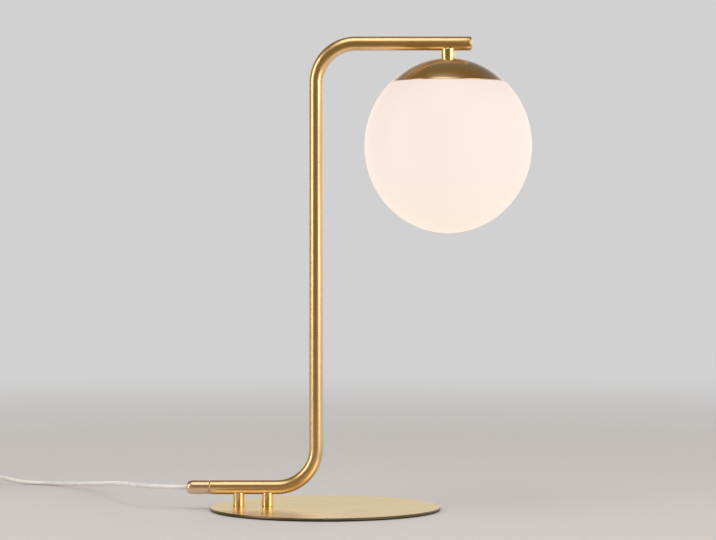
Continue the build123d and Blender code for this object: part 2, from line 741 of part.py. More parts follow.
def bulb_base():
    """Moulded base of the two-pin bulb, with a seat for its glass."""
    x0 = HANGER_X - BULB_BASE_WIDTH / 2
    x1 = HANGER_X + BULB_BASE_WIDTH / 2
    half = BULB_BASE_LENGTH / 2
    body = block(x0, x1, -half, half, bulb_glass_top, bulb_top)
    body = fillet(body.edges().filter_by(Axis.Z), BULB_BASE_WIDTH / 3)
    body += disc(BULB_DIAMETER / 2, bulb_glass_top, bulb_glass_top + BULB_BASE_HEIGHT / 3, HANGER_X)
    for side in (-1, 1):
        y = side * PIN_SPACING / 2
        thick = PIN_THICKNESS / 2 + SEAT_GAP
        wide = PIN_WIDTH / 2 + SEAT_GAP
        body -= block(
            HANGER_X - wide,
            HANGER_X + wide,
            y - thick,
            y + thick,
            bulb_top - PIN_LENGTH / 2 - SEAT_GAP,
            bulb_top + 1,
        )
    return body


def bulb_pins():
    """Two flat pins, half their length again inside the base."""
    pins = []
    for side in (-1, 1):
        y = side * PIN_SPACING / 2
        pin = block(
            HANGER_X - PIN_WIDTH / 2,
            HANGER_X + PIN_WIDTH / 2,
            y - PIN_THICKNESS / 2,
            y + PIN_THICKNESS / 2,
            bulb_top - PIN_LENGTH / 2,
            bulb_top + PIN_LENGTH,
        )
        pins.append(pin)
    return Compound(children=pins)


def bulb_glass():
    """Capsule of the bulb: a tube with a round end."""
    outer = BULB_DIAMETER / 2
    inner = outer - BULB_WALL
    top = bulb_glass_top
    low = top - BULB_LENGTH
    capsule = turned(
        ellipse_arc((0, low + outer), outer, outer, -90, 90),
        outline((outer, low + outer), (outer, top), (inner, top), (inner, low + outer)),
        ellipse_arc((0, low + outer), inner, inner, -90, 90),
        outline((0, low + BULB_WALL), (0, low)),
    )
    return Pos(HANGER_X, 0, 0) * capsule


def bulb_core():
    """Light-emitting stick inside the bulb's glass, standing on its base."""
    half = BULB_CORE_WIDTH / 2
    return block(HANGER_X - half, HANGER_X + half, -half, half, bulb_glass_top - BULB_CORE_LENGTH, bulb_glass_top)


# ------------------------------------------------------------------ globe


def glass_globe():
    """Blown opal globe, a little taller than wide, with a shoulder under the cap and a short neck."""
    in_width = GLOBE_HALF_WIDTH - GLASS_WALL
    in_height = GLOBE_HALF_HEIGHT - GLASS_WALL
    inner_top = shoulder_z - GLASS_WALL
    outer_turn = math.degrees(math.asin((shoulder_z - globe_centre_z) / GLOBE_HALF_HEIGHT))
    inner_turn = math.degrees(math.asin((inner_top - globe_centre_z) / in_height))
    centre = (0, globe_centre_z)
    outer = ellipse_arc(centre, GLOBE_HALF_WIDTH, GLOBE_HALF_HEIGHT, -90, 90 + outer_turn)
    inner = ellipse_arc(centre, in_width, in_height, -90, 90 + inner_turn)
    outer_end = outer @ 1
    inner_end = inner @ 1
    flat = outer_end.X - SHOULDER_WIDTH
    glass = turned(
        outer,
        outline(
            (outer_end.X, outer_end.Z),
            (flat, outer_end.Z),
            (NECK_RADIUS, neck_foot_z),
            (NECK_RADIUS, neck_top),
            (neck_bore_radius, neck_top),
            (neck_bore_radius, neck_foot_z - GLASS_WALL),
            (inner_end.X, inner_end.Z),
        ),
        inner,
        outline(
            (0, globe_centre_z - in_height),
            (0, globe_centre_z - GLOBE_HALF_HEIGHT),
        ),
    )
    return Pos(HANGER_X, 0, 0) * glass


# ------------------------------------------------------------------ switch on the lead


def switch_at(x, y, z):
    """A place measured from the middle of the switch's underside."""
    return Pos(switch_mid_x + x, switch_y + y, z)


def switch_shape(inset):
    """The rounded outside of the switch, or its hollow when inset."""
    length = SWITCH_LENGTH - 2 * inset
    width = SWITCH_WIDTH - 2 * inset
    height = SWITCH_HEIGHT - 2 * inset
    shape = switch_at(0, 0, SWITCH_HEIGHT / 2) * Box(length, width, height)
    shape = fillet(shape.edges().filter_by(Axis.Z), width / 2.6)
    return fillet(shape.faces().sort_by(Axis.Z)[-1].edges(), SWITCH_ROUND - inset)


def switch_bosses(low, high):
    """The two bosses that the switch's screws pass through."""
    bosses = []
    for side in (-1, 1):
        x = switch_mid_x + side * (SWITCH_LENGTH / 2 - SWITCH_SCREW_INSET)
        bosses.append(disc(SWITCH_BOSS_DIAMETER / 2, low, high, x, switch_y + boss_y()))
    return bosses


def boss_y():
    """How far the bosses stand from the lead, so that it passes beside them."""
    return LEAD_DIAMETER / 2 + SWITCH_BOSS_DIAMETER / 2 + SEAT_GAP


def switch_cuts(shell):
    """Cuts the lead's holes and the screw holes."""
    hole_radius = LEAD_DIAMETER / 2 + SEAT_GAP
    shell -= bar_x(hole_radius, switch_near_x + 1, switch_far_x - 1, switch_y, switch_axis_z)
    for side in (-1, 1):
        x = switch_mid_x + side * (SWITCH_LENGTH / 2 - SWITCH_SCREW_INSET)
        top = SWITCH_HEIGHT - SWITCH_WALL - 1
        shell -= disc(SWITCH_SCREW_DIAMETER / 2 + SEAT_GAP, -1, top, x, switch_y + boss_y())
        shell -= disc(SWITCH_SCREW_HEAD / 2 + SEAT_GAP, -1, SWITCH_WALL, x, switch_y + boss_y())
    return shell


def switch_lower_shell():
    """Lower half of the switch."""
    far = SWITCH_LENGTH
    shell = switch_shape(0) - switch_shape(SWITCH_WALL)
    for boss in switch_bosses(SWITCH_WALL / 2, switch_axis_z):
        shell += boss
    shell &= switch_at(0, 0, switch_axis_z / 2) * Box(far * 2, far * 2, switch_axis_z)
    return switch_cuts(shell)


def switch_upper_shell():
    """Upper half of the switch, with the rocker's window and the pivot's ears."""
    far = SWITCH_LENGTH
    upper_z = (switch_axis_z + SWITCH_HEIGHT) / 2
    shell = switch_shape(0) - switch_shape(SWITCH_WALL)
    for boss in switch_bosses(switch_axis_z, SWITCH_HEIGHT - SWITCH_WALL / 2):
        shell += boss
    window_x = ROCKER_LENGTH + 2 * ROCKER_GAP
    window_y = ROCKER_WIDTH + 2 * ROCKER_GAP
    ear_y = window_y + 2 * SWITCH_WALL
    ear_low = rocker_pivot_z - PIVOT_DIAMETER
    ear = switch_at(0, 0, (ear_low + SWITCH_HEIGHT - SWITCH_WALL / 2) / 2)
    shell += ear * Box(3 * PIVOT_DIAMETER, ear_y, SWITCH_HEIGHT - SWITCH_WALL / 2 - ear_low)
    shell &= switch_at(0, 0, upper_z) * Box(far * 2, far * 2, SWITCH_HEIGHT - switch_axis_z)
    shell -= switch_at(0, 0, SWITCH_HEIGHT) * Box(window_x, window_y, SWITCH_HEIGHT)
    pivot = switch_at(0, 0, rocker_pivot_z) * Rot(90, 0, 0)
    shell -= pivot * Cylinder(PIVOT_DIAMETER / 2 + SEAT_GAP, ear_y + 2 * SEAT_GAP)
    return switch_cuts(shell)


def switch_rocker():
    """Rocker with a shallow valley across its top, tilted to its ON side."""
    half = ROCKER_LENGTH / 2
    crown = SWITCH_HEIGHT - rocker_pivot_z
    section = Polyline(
        (-half, 0, crown + 1.0),
        (0, 0, crown - 0.2),
        (half, 0, crown + 1.0),
        (half, 0, crown - 2.6),
        (PIVOT_DIAMETER, 0, -PIVOT_DIAMETER),
        (-PIVOT_DIAMETER, 0, -PIVOT_DIAMETER),
        (-half, 0, crown - 2.6),
        close=True,
    )
    rocker = Pos(0, -ROCKER_WIDTH / 2, 0) * extrude(Face(section), ROCKER_WIDTH, dir=(0, 1, 0))
    rocker -= Rot(90, 0, 0) * Cylinder(PIVOT_DIAMETER / 2 + PIVOT_CLEARANCE, 2 * ROCKER_WIDTH)
    return switch_at(0, 0, rocker_pivot_z) * Rot(0, ROCKER_TILT, 0) * rocker


def switch_pivot():
    """Steel pin that the rocker turns on."""
    length = ROCKER_WIDTH + 2 * ROCKER_GAP + 2 * SWITCH_WALL
    return switch_at(0, 0, rocker_pivot_z) * Rot(90, 0, 0) * Cylinder(PIVOT_DIAMETER / 2, length)


def switch_contacts():
    """Two brass contacts on the floor of the switch, each with the end of a live core on it."""
    contacts = []
    for side in (-1, 1):
        middle = side * ROCKER_LENGTH / 3
        place = switch_at(middle, -SWITCH_WIDTH / 5, SWITCH_WALL + 2)
        contacts.append(place * Box(ROCKER_LENGTH / 4, SWITCH_WIDTH / 5, 4))
    return Compound(children=contacts)


def switch_core():
    """The core that runs straight on through the switch."""
    x0 = switch_near_x - SWITCH_TUCK
    x1 = switch_far_x + SWITCH_TUCK
    return bar_x(CORE_DIAMETER / 2, x0, x1, switch_y, switch_axis_z)


def switch_screws():
    """Two screws that close the switch from below."""
    screws = []
    for side in (-1, 1):
        x = switch_mid_x + side * (SWITCH_LENGTH / 2 - SWITCH_SCREW_INSET)
        y = switch_y + boss_y()
        top = SWITCH_HEIGHT - SWITCH_WALL - 2
        screw = disc(SWITCH_SCREW_DIAMETER / 2, SEAT_GAP, top, x, y)
        screws.append(screw + disc(SWITCH_SCREW_HEAD / 2, SEAT_GAP, SWITCH_WALL - SEAT_GAP, x, y))
    return Compound(children=screws)


# ------------------------------------------------------------------ coil, tie and plug


def coil_steps():
    """Each half turn's distance in from the outermost turn, in pitches, and whether it climbs a layer."""
    inward = [(0.0, False), (0.5, False), (1.0, False), (1.5, False)]
    inner_climb = [(2.0, True)]
    outer_climb = [(0.0, True)]
    outward = inward[::-1]
    pair = inward[1:]
    return inward + inner_climb + pair[::-1] + outer_climb + pair + inner_climb + outward


def coil_path(start, outer_radius):
    """Half turns round an upright axis, each as two quarter arcs, with a straight end of one diameter."""
    edges = [Line(start + Vector(LEAD_DIAMETER, 0, 0), start)]
    point = start
    side = 1
    for step, climbs in coil_steps():
        radius = outer_radius - step * coil_pitch
        rise = coil_pitch if climbs else 0.0
        bulge = math.hypot(radius, rise / 2)
        middle = point + Vector(-side * bulge, -side * radius, rise / 2)
        end = point + Vector(0, -2 * side * radius, rise)
        edges.append(TangentArc(point, middle, tangent=(-side, 0, 0)))
        edges.append(TangentArc(middle, end, tangent=edges[-1] % 1))
        point = end
        side = -side
    edges.append(Line(point, point + Vector(LEAD_DIAMETER, 0, 0)))
    return Wire([edge for line in edges for edge in line.edges()])


def least_gap(path):
    """The least distance between two turns of the coil, surface to surface, measured on points."""
    count = int(path.length)
    points = np.array([tuple(path @ (k / count)) for k in range(count + 1)])
    apart = np.linalg.norm(points[:, None] - points[None], axis=2)
    order = np.arange(count + 1)
    near = np.abs(order[:, None] - order[None]) < 4 * LEAD_DIAMETER
    apart[near] = np.inf
    return float(apart.min()) - LEAD_DIAMETER


def cord_tie(centre_x, centre_y, outer_radius):
    """Flat strap round all the turns at one side of the coil."""
    outside = centre_x - outer_radius - LEAD_DIAMETER / 2 - TIE_GAP
    inside = centre_x - outer_radius + 2 * coil_pitch + LEAD_DIAMETER / 2 + TIE_GAP
    low = TIE_WALL
    high = coil_axis_z + (COIL_LAYERS - 1) * coil_pitch + LEAD_DIAMETER / 2 + TIE_GAP
    y0 = centre_y - TIE_WIDTH / 2
    y1 = centre_y + TIE_WIDTH / 2
    strap = block(outside - TIE_WALL, inside + TIE_WALL, y0, y1, low - TIE_WALL, high + TIE_WALL)
    return strap - block(outside, inside, y0 - 1, y1 + 1, low, high)


def plug_body(x, y):
    """Flat two-pin plug body that narrows towards the lead."""
    shape = Polyline(
        (x, y - PLUG_BODY_NECK / 2),
        (x + PLUG_BODY_LENGTH * 0.45, y - PLUG_BODY_WIDTH / 2),
        (x + PLUG_BODY_LENGTH, y - PLUG_BODY_WIDTH / 2),
        (x + PLUG_BODY_LENGTH, y + PLUG_BODY_WIDTH / 2),
        (x + PLUG_BODY_LENGTH * 0.45, y + PLUG_BODY_WIDTH / 2),
        (x, y + PLUG_BODY_NECK / 2),
        close=True,
    )
    body = extrude(Face(shape), PLUG_BODY_HEIGHT, dir=(0, 0, 1))
    body = fillet(body.edges(), PLUG_BODY_ROUND)
    face = x + PLUG_BODY_LENGTH
    for side in (-1, 1):
        pin_y = y + side * PLUG_PIN_SPACING / 2
        reach = PLUG_PIN_TUCK + SEAT_GAP
        body -= bar_x(PLUG_PIN_DIAMETER / 2 + SEAT_GAP, face - reach, face + 1, pin_y, plug_axis_z)
    return body


def plug_pins(x, y):
    """Two round-nosed pins."""
    pins = []
    face = x + PLUG_BODY_LENGTH
    for side in (-1, 1):
        pin_y = y + side * PLUG_PIN_SPACING / 2
        pin = bar_x(PLUG_PIN_DIAMETER / 2, face - PLUG_PIN_TUCK, face + PLUG_PIN_LENGTH, pin_y, plug_axis_z)
        pins.append(fillet(pin.edges().sort_by(Axis.X)[-1], PLUG_PIN_DIAMETER * 0.4))
    return Compound(children=pins)


def plug_boot(x, y):
    """Tapered strain relief between the lead and the plug body."""
    cone = Cone(BOOT_TIP_DIAMETER / 2, BOOT_DIAMETER / 2, BOOT_LENGTH)
    return Pos(x + BOOT_LENGTH / 2, y, plug_axis_z) * Rot(0, 90, 0) * cone


# ------------------------------------------------------------------ build and write


def lamp_pieces():
    """Every piece that belongs to the lamp itself."""
    pieces = {
        "base_pad": base_pad(),
        "base_plate": base_plate(),
        "outer_post": base_post(post_xs[0]),
        "inner_post": base_post(post_xs[1]),
        "base_screws": base_screws(),
        "tapped_bar": tapped_bar(),
        "lamp_tube": lamp_tube(),
        "arm_end_plug": arm_end_plug(),
        "cord_gland": cord_gland(),
        "cord_grip": cord_grip(),
        "live_core": core(-1),
        "neutral_core": core(1),
        "hanger_stem": hanger_stem(),
        "threaded_tube": threaded_tube(),
        "dome_cap": dome_cap(),
        "cap_spacer": cap_spacer(),
        "gallery": gallery(),
        "globe_gasket": globe_gasket(),
        "clip_rivets": clip_rivets(),
        "holder_bracket": holder_bracket(),
        "lock_washer": lock_washer(),
        "clamp_nut": clamp_nut(),
        "lampholder": lampholder(),
        "live_contact": holder_contact(-1),
        "neutral_contact": holder_contact(1),
        "holder_screws": holder_screws(),
        "bulb_base": bulb_base(),
        "bulb_pins": bulb_pins(),
        "bulb_glass": bulb_glass(),
        "bulb_core": bulb_core(),
        "glass_globe": glass_globe(),
    }
    for number, place in enumerate(clip_places(), start=1):
        pieces[f"globe_clip_{number}"] = globe_clip(place)
    return pieces


def route(start, run_lengths, direction, z0, z1):
    """Four points along X that step once from one height to another in the middle run."""
    x, y = start
    points = [(x, y, z0)]
    for run, z in zip(run_lengths, (z0, z1, z1)):
        x += direction * run
        points.append((x, y, z))
    return points


def lead_pieces():
    """The lead with its switch, coil, tie and plug."""
    supply = lead_path("supply_lead", SUPPLY_ROUTE)
    link_start = (switch_far_x + SWITCH_TUCK, switch_y)
    link_points = route(link_start, LINK_RUNS, -1, switch_axis_z, coil_axis_z)
    link = lead_path("link_lead", link_points)
    inside_gland = SUPPLY_ROUTE[0][0] - gland_tip_x
    through_switch = SWITCH_LENGTH - 2 * SWITCH_TUCK
    used = supply.length - inside_gland + through_switch + link.length + sum(PLUG_LEAD_RUNS)
    coil_length = LEAD_LENGTH - used
    steps = coil_steps()
    inset_sum = coil_pitch * sum(step for step, _ in steps)
    turns_length = coil_length - 2 * LEAD_DIAMETER
    outer_radius = (turns_length / math.pi + inset_sum) / len(steps)
    coil_start = Vector(*link_points[-1]) - Vector(LEAD_DIAMETER, 0, 0)
    coil = coil_path(coil_start, outer_radius)
    centre_y = coil_start.Y - outer_radius
    coil_end = coil @ 1
    top_z = coil_axis_z + (COIL_LAYERS - 1) * coil_pitch
    plug_points = route((coil_end.X, coil_end.Y), PLUG_LEAD_RUNS, 1, top_z, plug_axis_z)
    plug_lead = lead_path("plug_lead", plug_points)
    boot_x, plug_y, _ = plug_points[-1]
    body_x = boot_x + BOOT_LENGTH
    print(f"coil: outer radius {outer_radius:.2f}, {len(steps) / 2} turns, {coil.length:.0f} mm")
    print(f"coil: centre {coil_start.X:.1f}, {centre_y:.1f}, least gap {least_gap(coil):.3f} mm")
    print(f"lead: {used + coil.length:.0f} mm in all")
    return {
        "supply_lead": lead_tube("supply_lead", supply),
        "link_lead": lead_tube("link_lead", link),
        "lead_coil": lead_tube("lead_coil", coil),
        "plug_lead": lead_tube("plug_lead", plug_lead),
        "cord_tie": cord_tie(coil_start.X, centre_y, outer_radius),
        "switch_lower_shell": switch_lower_shell(),
        "switch_upper_shell": switch_upper_shell(),
        "switch_rocker": switch_rocker(),
        "switch_pivot": switch_pivot(),
        "switch_contacts": switch_contacts(),
        "switch_core": switch_core(),
        "switch_screws": switch_screws(),
        "plug_boot": plug_boot(boot_x, plug_y),
        "plug_body": plug_body(body_x, plug_y),
        "plug_pins": plug_pins(body_x, plug_y),
    }


os.makedirs("parts", exist_ok=True)
for name, piece in {**lamp_pieces(), **lead_pieces()}.items():
    export_step(piece, f"parts/{name}.step")
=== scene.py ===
import math

import bpy
import numpy as np
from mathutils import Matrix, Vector


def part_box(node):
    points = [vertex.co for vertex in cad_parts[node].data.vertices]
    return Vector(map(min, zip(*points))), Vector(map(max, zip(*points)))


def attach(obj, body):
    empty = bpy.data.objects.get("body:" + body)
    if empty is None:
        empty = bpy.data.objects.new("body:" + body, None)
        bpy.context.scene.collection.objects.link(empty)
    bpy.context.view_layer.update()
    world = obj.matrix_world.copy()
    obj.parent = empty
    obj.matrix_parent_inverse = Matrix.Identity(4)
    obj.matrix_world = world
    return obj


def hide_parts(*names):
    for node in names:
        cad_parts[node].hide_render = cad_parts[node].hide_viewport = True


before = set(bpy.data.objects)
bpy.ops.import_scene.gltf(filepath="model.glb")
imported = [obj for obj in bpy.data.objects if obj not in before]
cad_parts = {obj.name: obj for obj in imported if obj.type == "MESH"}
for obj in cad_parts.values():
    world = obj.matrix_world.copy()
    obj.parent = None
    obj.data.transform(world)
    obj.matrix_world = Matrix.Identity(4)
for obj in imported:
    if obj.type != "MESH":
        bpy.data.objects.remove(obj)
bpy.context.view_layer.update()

# Table lamp: a bent brass tube on a round base holds a lit opal globe under a spun cap.
# Metres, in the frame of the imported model: +Z up, +X from the upright towards the globe.

MM = 0.001


# ------------------------------------------------------------------ places read from the frame


def low(node):
    """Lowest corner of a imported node, as an array."""
    return np.array(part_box(node)[0])


def high(node):
    """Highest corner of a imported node, as an array."""
    return np.array(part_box(node)[1])


def middle(node):
    """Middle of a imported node's box, as an array."""
    return (low(node) + high(node)) / 2


TUBE_RADIUS = (high("lamp_tube")[1] - low("lamp_tube")[1]) / 2
FOOT_AXIS_Z = low("lamp_tube")[2] + TUBE_RADIUS
ARM_AXIS_Z = high("lamp_tube")[2] - TUBE_RADIUS
FOOT_END_X = low("lamp_tube")[0]
ARM_END_X = high("lamp_tube")[0]
HANGER_X = middle("hanger_stem")[0]
CAP_TOP = high("dome_cap")[2]
CAP_RIM_Z = low("dome_cap")[2]
CAP_RIM_RADIUS = (high("dome_cap")[1] - low("dome_cap")[1]) / 2
GLAND_TIP_X = low("cord_gland")[0]


# ------------------------------------------------------------------ camera


def photo_camera():
    """Looks along +Y and a little down, from the photograph's height and distance."""
    camera = bpy.data.cameras.new("photo_camera")
    camera.sensor_width = 36.0
    camera.lens = 138.0
    camera.clip_start = 0.05
    camera.clip_end = 60.0
    holder = bpy.data.objects.new("photo_camera", camera)
    bpy.context.scene.collection.objects.link(holder)
    holder.location = (0.0294, -2.461, 0.253)
    pitch_down = math.radians(0.88)
    holder.rotation_euler = (math.pi / 2 - pitch_down, 0.0, 0.0)
    bpy.context.scene.camera = holder


photo_camera()


# ------------------------------------------------------------------ lead

LEAD_DIAMETER = 4.0 * MM
SUPPLY_ROUTE = [
    (-0.1100, 0.000, 0.0202),
    (-0.1420, 0.000, 0.0202),
    (-0.1700, 0.018, 0.0204),
    (-0.1880, 0.052, 0.0190),
    (-0.2030, 0.098, 0.0146),
    (-0.2180, 0.148, 0.0096),
    (-0.2380, 0.196, 0.0050),
    (-0.2680, 0.230, 0.0021),
    (-0.3030, 0.243, 0.0021),
    (-0.3300, 0.246, 0.0085),
    (-0.3560, 0.246, 0.0085),
]
LINK_ROUTE = [
    (-0.4000, 0.246, 0.0085),
    (-0.4160, 0.246, 0.0085),
    (-0.4320, 0.246, 0.0033),
    (-0.4410, 0.246, 0.0033),
]
PLUG_RUNS = (0.014, 0.017, 0.013)
COIL_PITCH = 4.5 * MM
COIL_HALF_TURNS = 17
HALF_TURNS_PER_LAYER = 4
POINTS_PER_HALF_TURN = 8


def coil_points(start, outer_radius):
    """Half circles laid end to end round an upright axis. Each is half a pitch smaller than the last while
    its layer runs in, and half a pitch larger while the next runs out; where a layer ends, the half turn
    climbs one pitch. Each point stands outside its circle by the cosine of half a step, so that the smooth
    line through them has the true radius."""
    spread = math.cos(math.pi / POINTS_PER_HALF_TURN / 2)
    share = (np.arange(POINTS_PER_HALF_TURN) + 0.5) / POINTS_PER_HALF_TURN
    angle = math.pi * share
    points = []
    x, y, z = start
    side = 1
    for number in range(COIL_HALF_TURNS):
        steps_in = 2 - abs(number % (2 * HALF_TURNS_PER_LAYER) - HALF_TURNS_PER_LAYER) / 2
        climbs = number % HALF_TURNS_PER_LAYER == 0 and 0 < number < COIL_HALF_TURNS - 1
        radius = outer_radius - steps_in * COIL_PITCH
        rise = COIL_PITCH if climbs else 0.0
        across = side * radius / spread * np.sin(angle)
        along = side * radius / spread * np.cos(angle)
        points.append(np.stack([x - across, y - side * radius + along, z + rise * share], axis=1))
        y -= 2 * side * radius
        z += rise
        side = -side
    return np.concatenate(points), (x, y, z)


def lead_route():
    """All control points of the lead, from inside the gland to the plug's boot."""
    start_x = LINK_ROUTE[-1][0] - LEAD_DIAMETER
    outer_radius = start_x - low("lead_coil")[0] - LEAD_DIAMETER / 2
    turns, (end_x, end_y, end_z) = coil_points((start_x, *LINK_ROUTE[-1][1:]), outer_radius)
    plug_z = middle("plug_boot")[2]
    x = end_x + LEAD_DIAMETER
    plug_lead = [(x, end_y, end_z)]
    for run, z in zip(PLUG_RUNS, (end_z, plug_z, plug_z)):
        x += run
        plug_lead.append((x, end_y, z))
    plug_lead.append((x + PLUG_RUNS[0], end_y, plug_z))
    return np.concatenate([SUPPLY_ROUTE, LINK_ROUTE, turns, plug_lead])


def make_lead():
    """One smooth line through the whole route, with a round section."""
    points = lead_route()
    curve = bpy.data.curves.new("lead", "CURVE")
    curve.dimensions = "3D"
    curve.bevel_depth = LEAD_DIAMETER / 2
    curve.bevel_resolution = 5
    curve.resolution_u = 6
    curve.use_fill_caps = True
    spline = curve.splines.new("NURBS")
    spline.points.add(len(points) - 1)
    spline.points.foreach_set("co", np.column_stack([points, np.ones(len(points))]).ravel())
    spline.order_u = 3
    spline.use_endpoint_u = True
    lead = bpy.data.objects.new("lead", curve)
    bpy.context.scene.collection.objects.link(lead)
    return lead


lead = make_lead()


# ------------------------------------------------------------------ surfaces

SAME_PLACE = 1e-9
SEGMENTS = 96


def unit(vectors):
    """Vectors scaled to length one, along the last axis."""
    return vectors / np.linalg.norm(vectors, axis=-1, keepdims=True)


def grid_faces(points, closed_rows):
    """Corners, faces and map of one grid, rows by columns, whose columns go round and meet. Each face
    joins four neighbours, and a row that shrinks to one point becomes a pole. Faces are turned outwards
    by the sign of the volume that they enclose."""
    rows, columns = points.shape[:2]
    number = np.arange(rows * columns).reshape(rows, columns)
    pole = np.ptp(points, axis=1).max(axis=1) < SAME_PLACE
    number[pole] = number[pole][:, :1]
    row, column = np.meshgrid(np.arange(rows if closed_rows else rows - 1), np.arange(columns), indexing="ij")
    corner_rows = np.stack([row, row, row + 1, row + 1], axis=-1).reshape(-1, 4)
    corner_columns = np.stack([column, column + 1, column + 1, column], axis=-1).reshape(-1, 4)
    corners = number[corner_rows % rows, corner_columns % columns]
    flat = points.reshape(-1, 3)
    a, b, c, d = (flat[corners[:, k]] for k in range(4))
    if np.sum(a * np.cross(b, c)) + np.sum(a * np.cross(c, d)) < 0:
        corners, corner_rows, corner_columns = (
            grid[:, ::-1] for grid in (corners, corner_rows, corner_columns))
    kept = corners != np.roll(corners, -1, axis=1)
    used, loops = np.unique(corners[kept], return_inverse=True)
    uv = np.stack([corner_columns / columns, corner_rows / max(rows - 1, 1)], axis=-1)[kept]
    return flat[used], loops.ravel(), kept.sum(axis=1), uv


def grid_piece(name, *grids, closed_rows=False, sharp_degrees=38.0):
    """One piece from one or more grids of points."""
    parts = [grid_faces(points, closed_rows) for points in grids]
    firsts = np.cumsum([0] + [len(part[0]) for part in parts[:-1]])
    vertices = np.concatenate([part[0] for part in parts])
    loops = np.concatenate([part[1] + first for part, first in zip(parts, firsts)])
    totals = np.concatenate([part[2] for part in parts])
    uv = np.concatenate([part[3] for part in parts])
    mesh = bpy.data.meshes.new(name)
    mesh.vertices.add(len(vertices))
    mesh.vertices.foreach_set("co", vertices.ravel())
    mesh.loops.add(len(loops))
    mesh.loops.foreach_set("vertex_index", loops.astype(np.int32))
    mesh.polygons.add(len(totals))
    mesh.polygons.foreach_set("loop_start", np.concatenate([[0], np.cumsum(totals)[:-1]]).astype(np.int32))
    mesh.polygons.foreach_set("use_smooth", np.ones(len(totals), bool))
    mesh.uv_layers.new(name="UVMap").uv.foreach_set("vector", uv.ravel().astype(np.float32))
    mesh.update(calc_edges=True)
    mesh.validate()
    mesh.set_sharp_from_angle(angle=math.radians(sharp_degrees))
    piece = bpy.data.objects.new(name, mesh)
    bpy.context.scene.collection.objects.link(piece)
    return piece


def rounded(*corners, steps):
    """A closed line whose corners are arcs. Each corner is two coordinates and a radius; its arc touches
    both of its sides, and its points are sine-weighted mixes of the radii to where it starts and ends."""
    places = np.array([corner[:2] for corner in corners], float)
    neighbours = zip(np.roll(places, 1, 0), places, np.roll(places, -1, 0), corners)
    line = []
    for before, corner, after, (_, _, radius) in neighbours:
        to_before, to_after = unit(before - corner), unit(after - corner)
        half = math.acos(float(np.clip(to_before @ to_after, -1, 1))) / 2
        centre = corner + unit(to_before + to_after) * radius / math.sin(half)
        start = corner + to_before * radius / math.tan(half) - centre
        end = corner + to_after * radius / math.tan(half) - centre
        turn = math.pi - 2 * half
        share = np.linspace(0, 1, steps + 1)[:, None]
        mixed = np.sin((1 - share) * turn) * start + np.sin(share * turn) * end
        line.append(centre + mixed / math.sin(turn))
    return np.concatenate(line)


def ellipse_points(centre, radii, start, end, count):
    """Part of an ellipse in two coordinates, by its angles in degrees."""
    angle = np.radians(np.linspace(start, end, count))
    return np.stack([centre[0] + radii[0] * np.cos(angle), centre[1] + radii[1] * np.sin(angle)], axis=1)


def turned(profile, x, segments=SEGMENTS):
    """Each profile point, a radius and a height, goes once round an upright axis."""
    turn = np.linspace(0, 2 * np.pi, segments, endpoint=False)
    radius, height = np.asarray(profile)[:, :1], np.asarray(profile)[:, 1:]
    return np.stack([x + radius * np.cos(turn), radius * np.sin(turn), height + 0 * turn], axis=-1)


def turned_along_x(profile, y, z, segments):
    """Each profile point, a place along X and a radius, goes once round a level axis."""
    turn = np.linspace(0, 2 * np.pi, segments, endpoint=False)
    place, radius = np.asarray(profile)[:, :1], np.asarray(profile)[:, 1:]
    return np.stack([place + 0 * turn, y + radius * np.cos(turn), z + radius * np.sin(turn)], axis=-1)


def squared_ring(half_x, half_y, power, segments):
    """A closed line between an ellipse and a rectangle: the two halves times cosine and sine, each raised
    to two over the power, with its sign kept."""
    turn = np.linspace(0, 2 * np.pi, segments, endpoint=False)
    cosine, sine = np.cos(turn), np.sin(turn)
    share = 2.0 / power
    return half_x * np.sign(cosine) * np.abs(cosine) ** share, half_y * np.sign(sine) * np.abs(sine) ** share


# ------------------------------------------------------------------ finishes


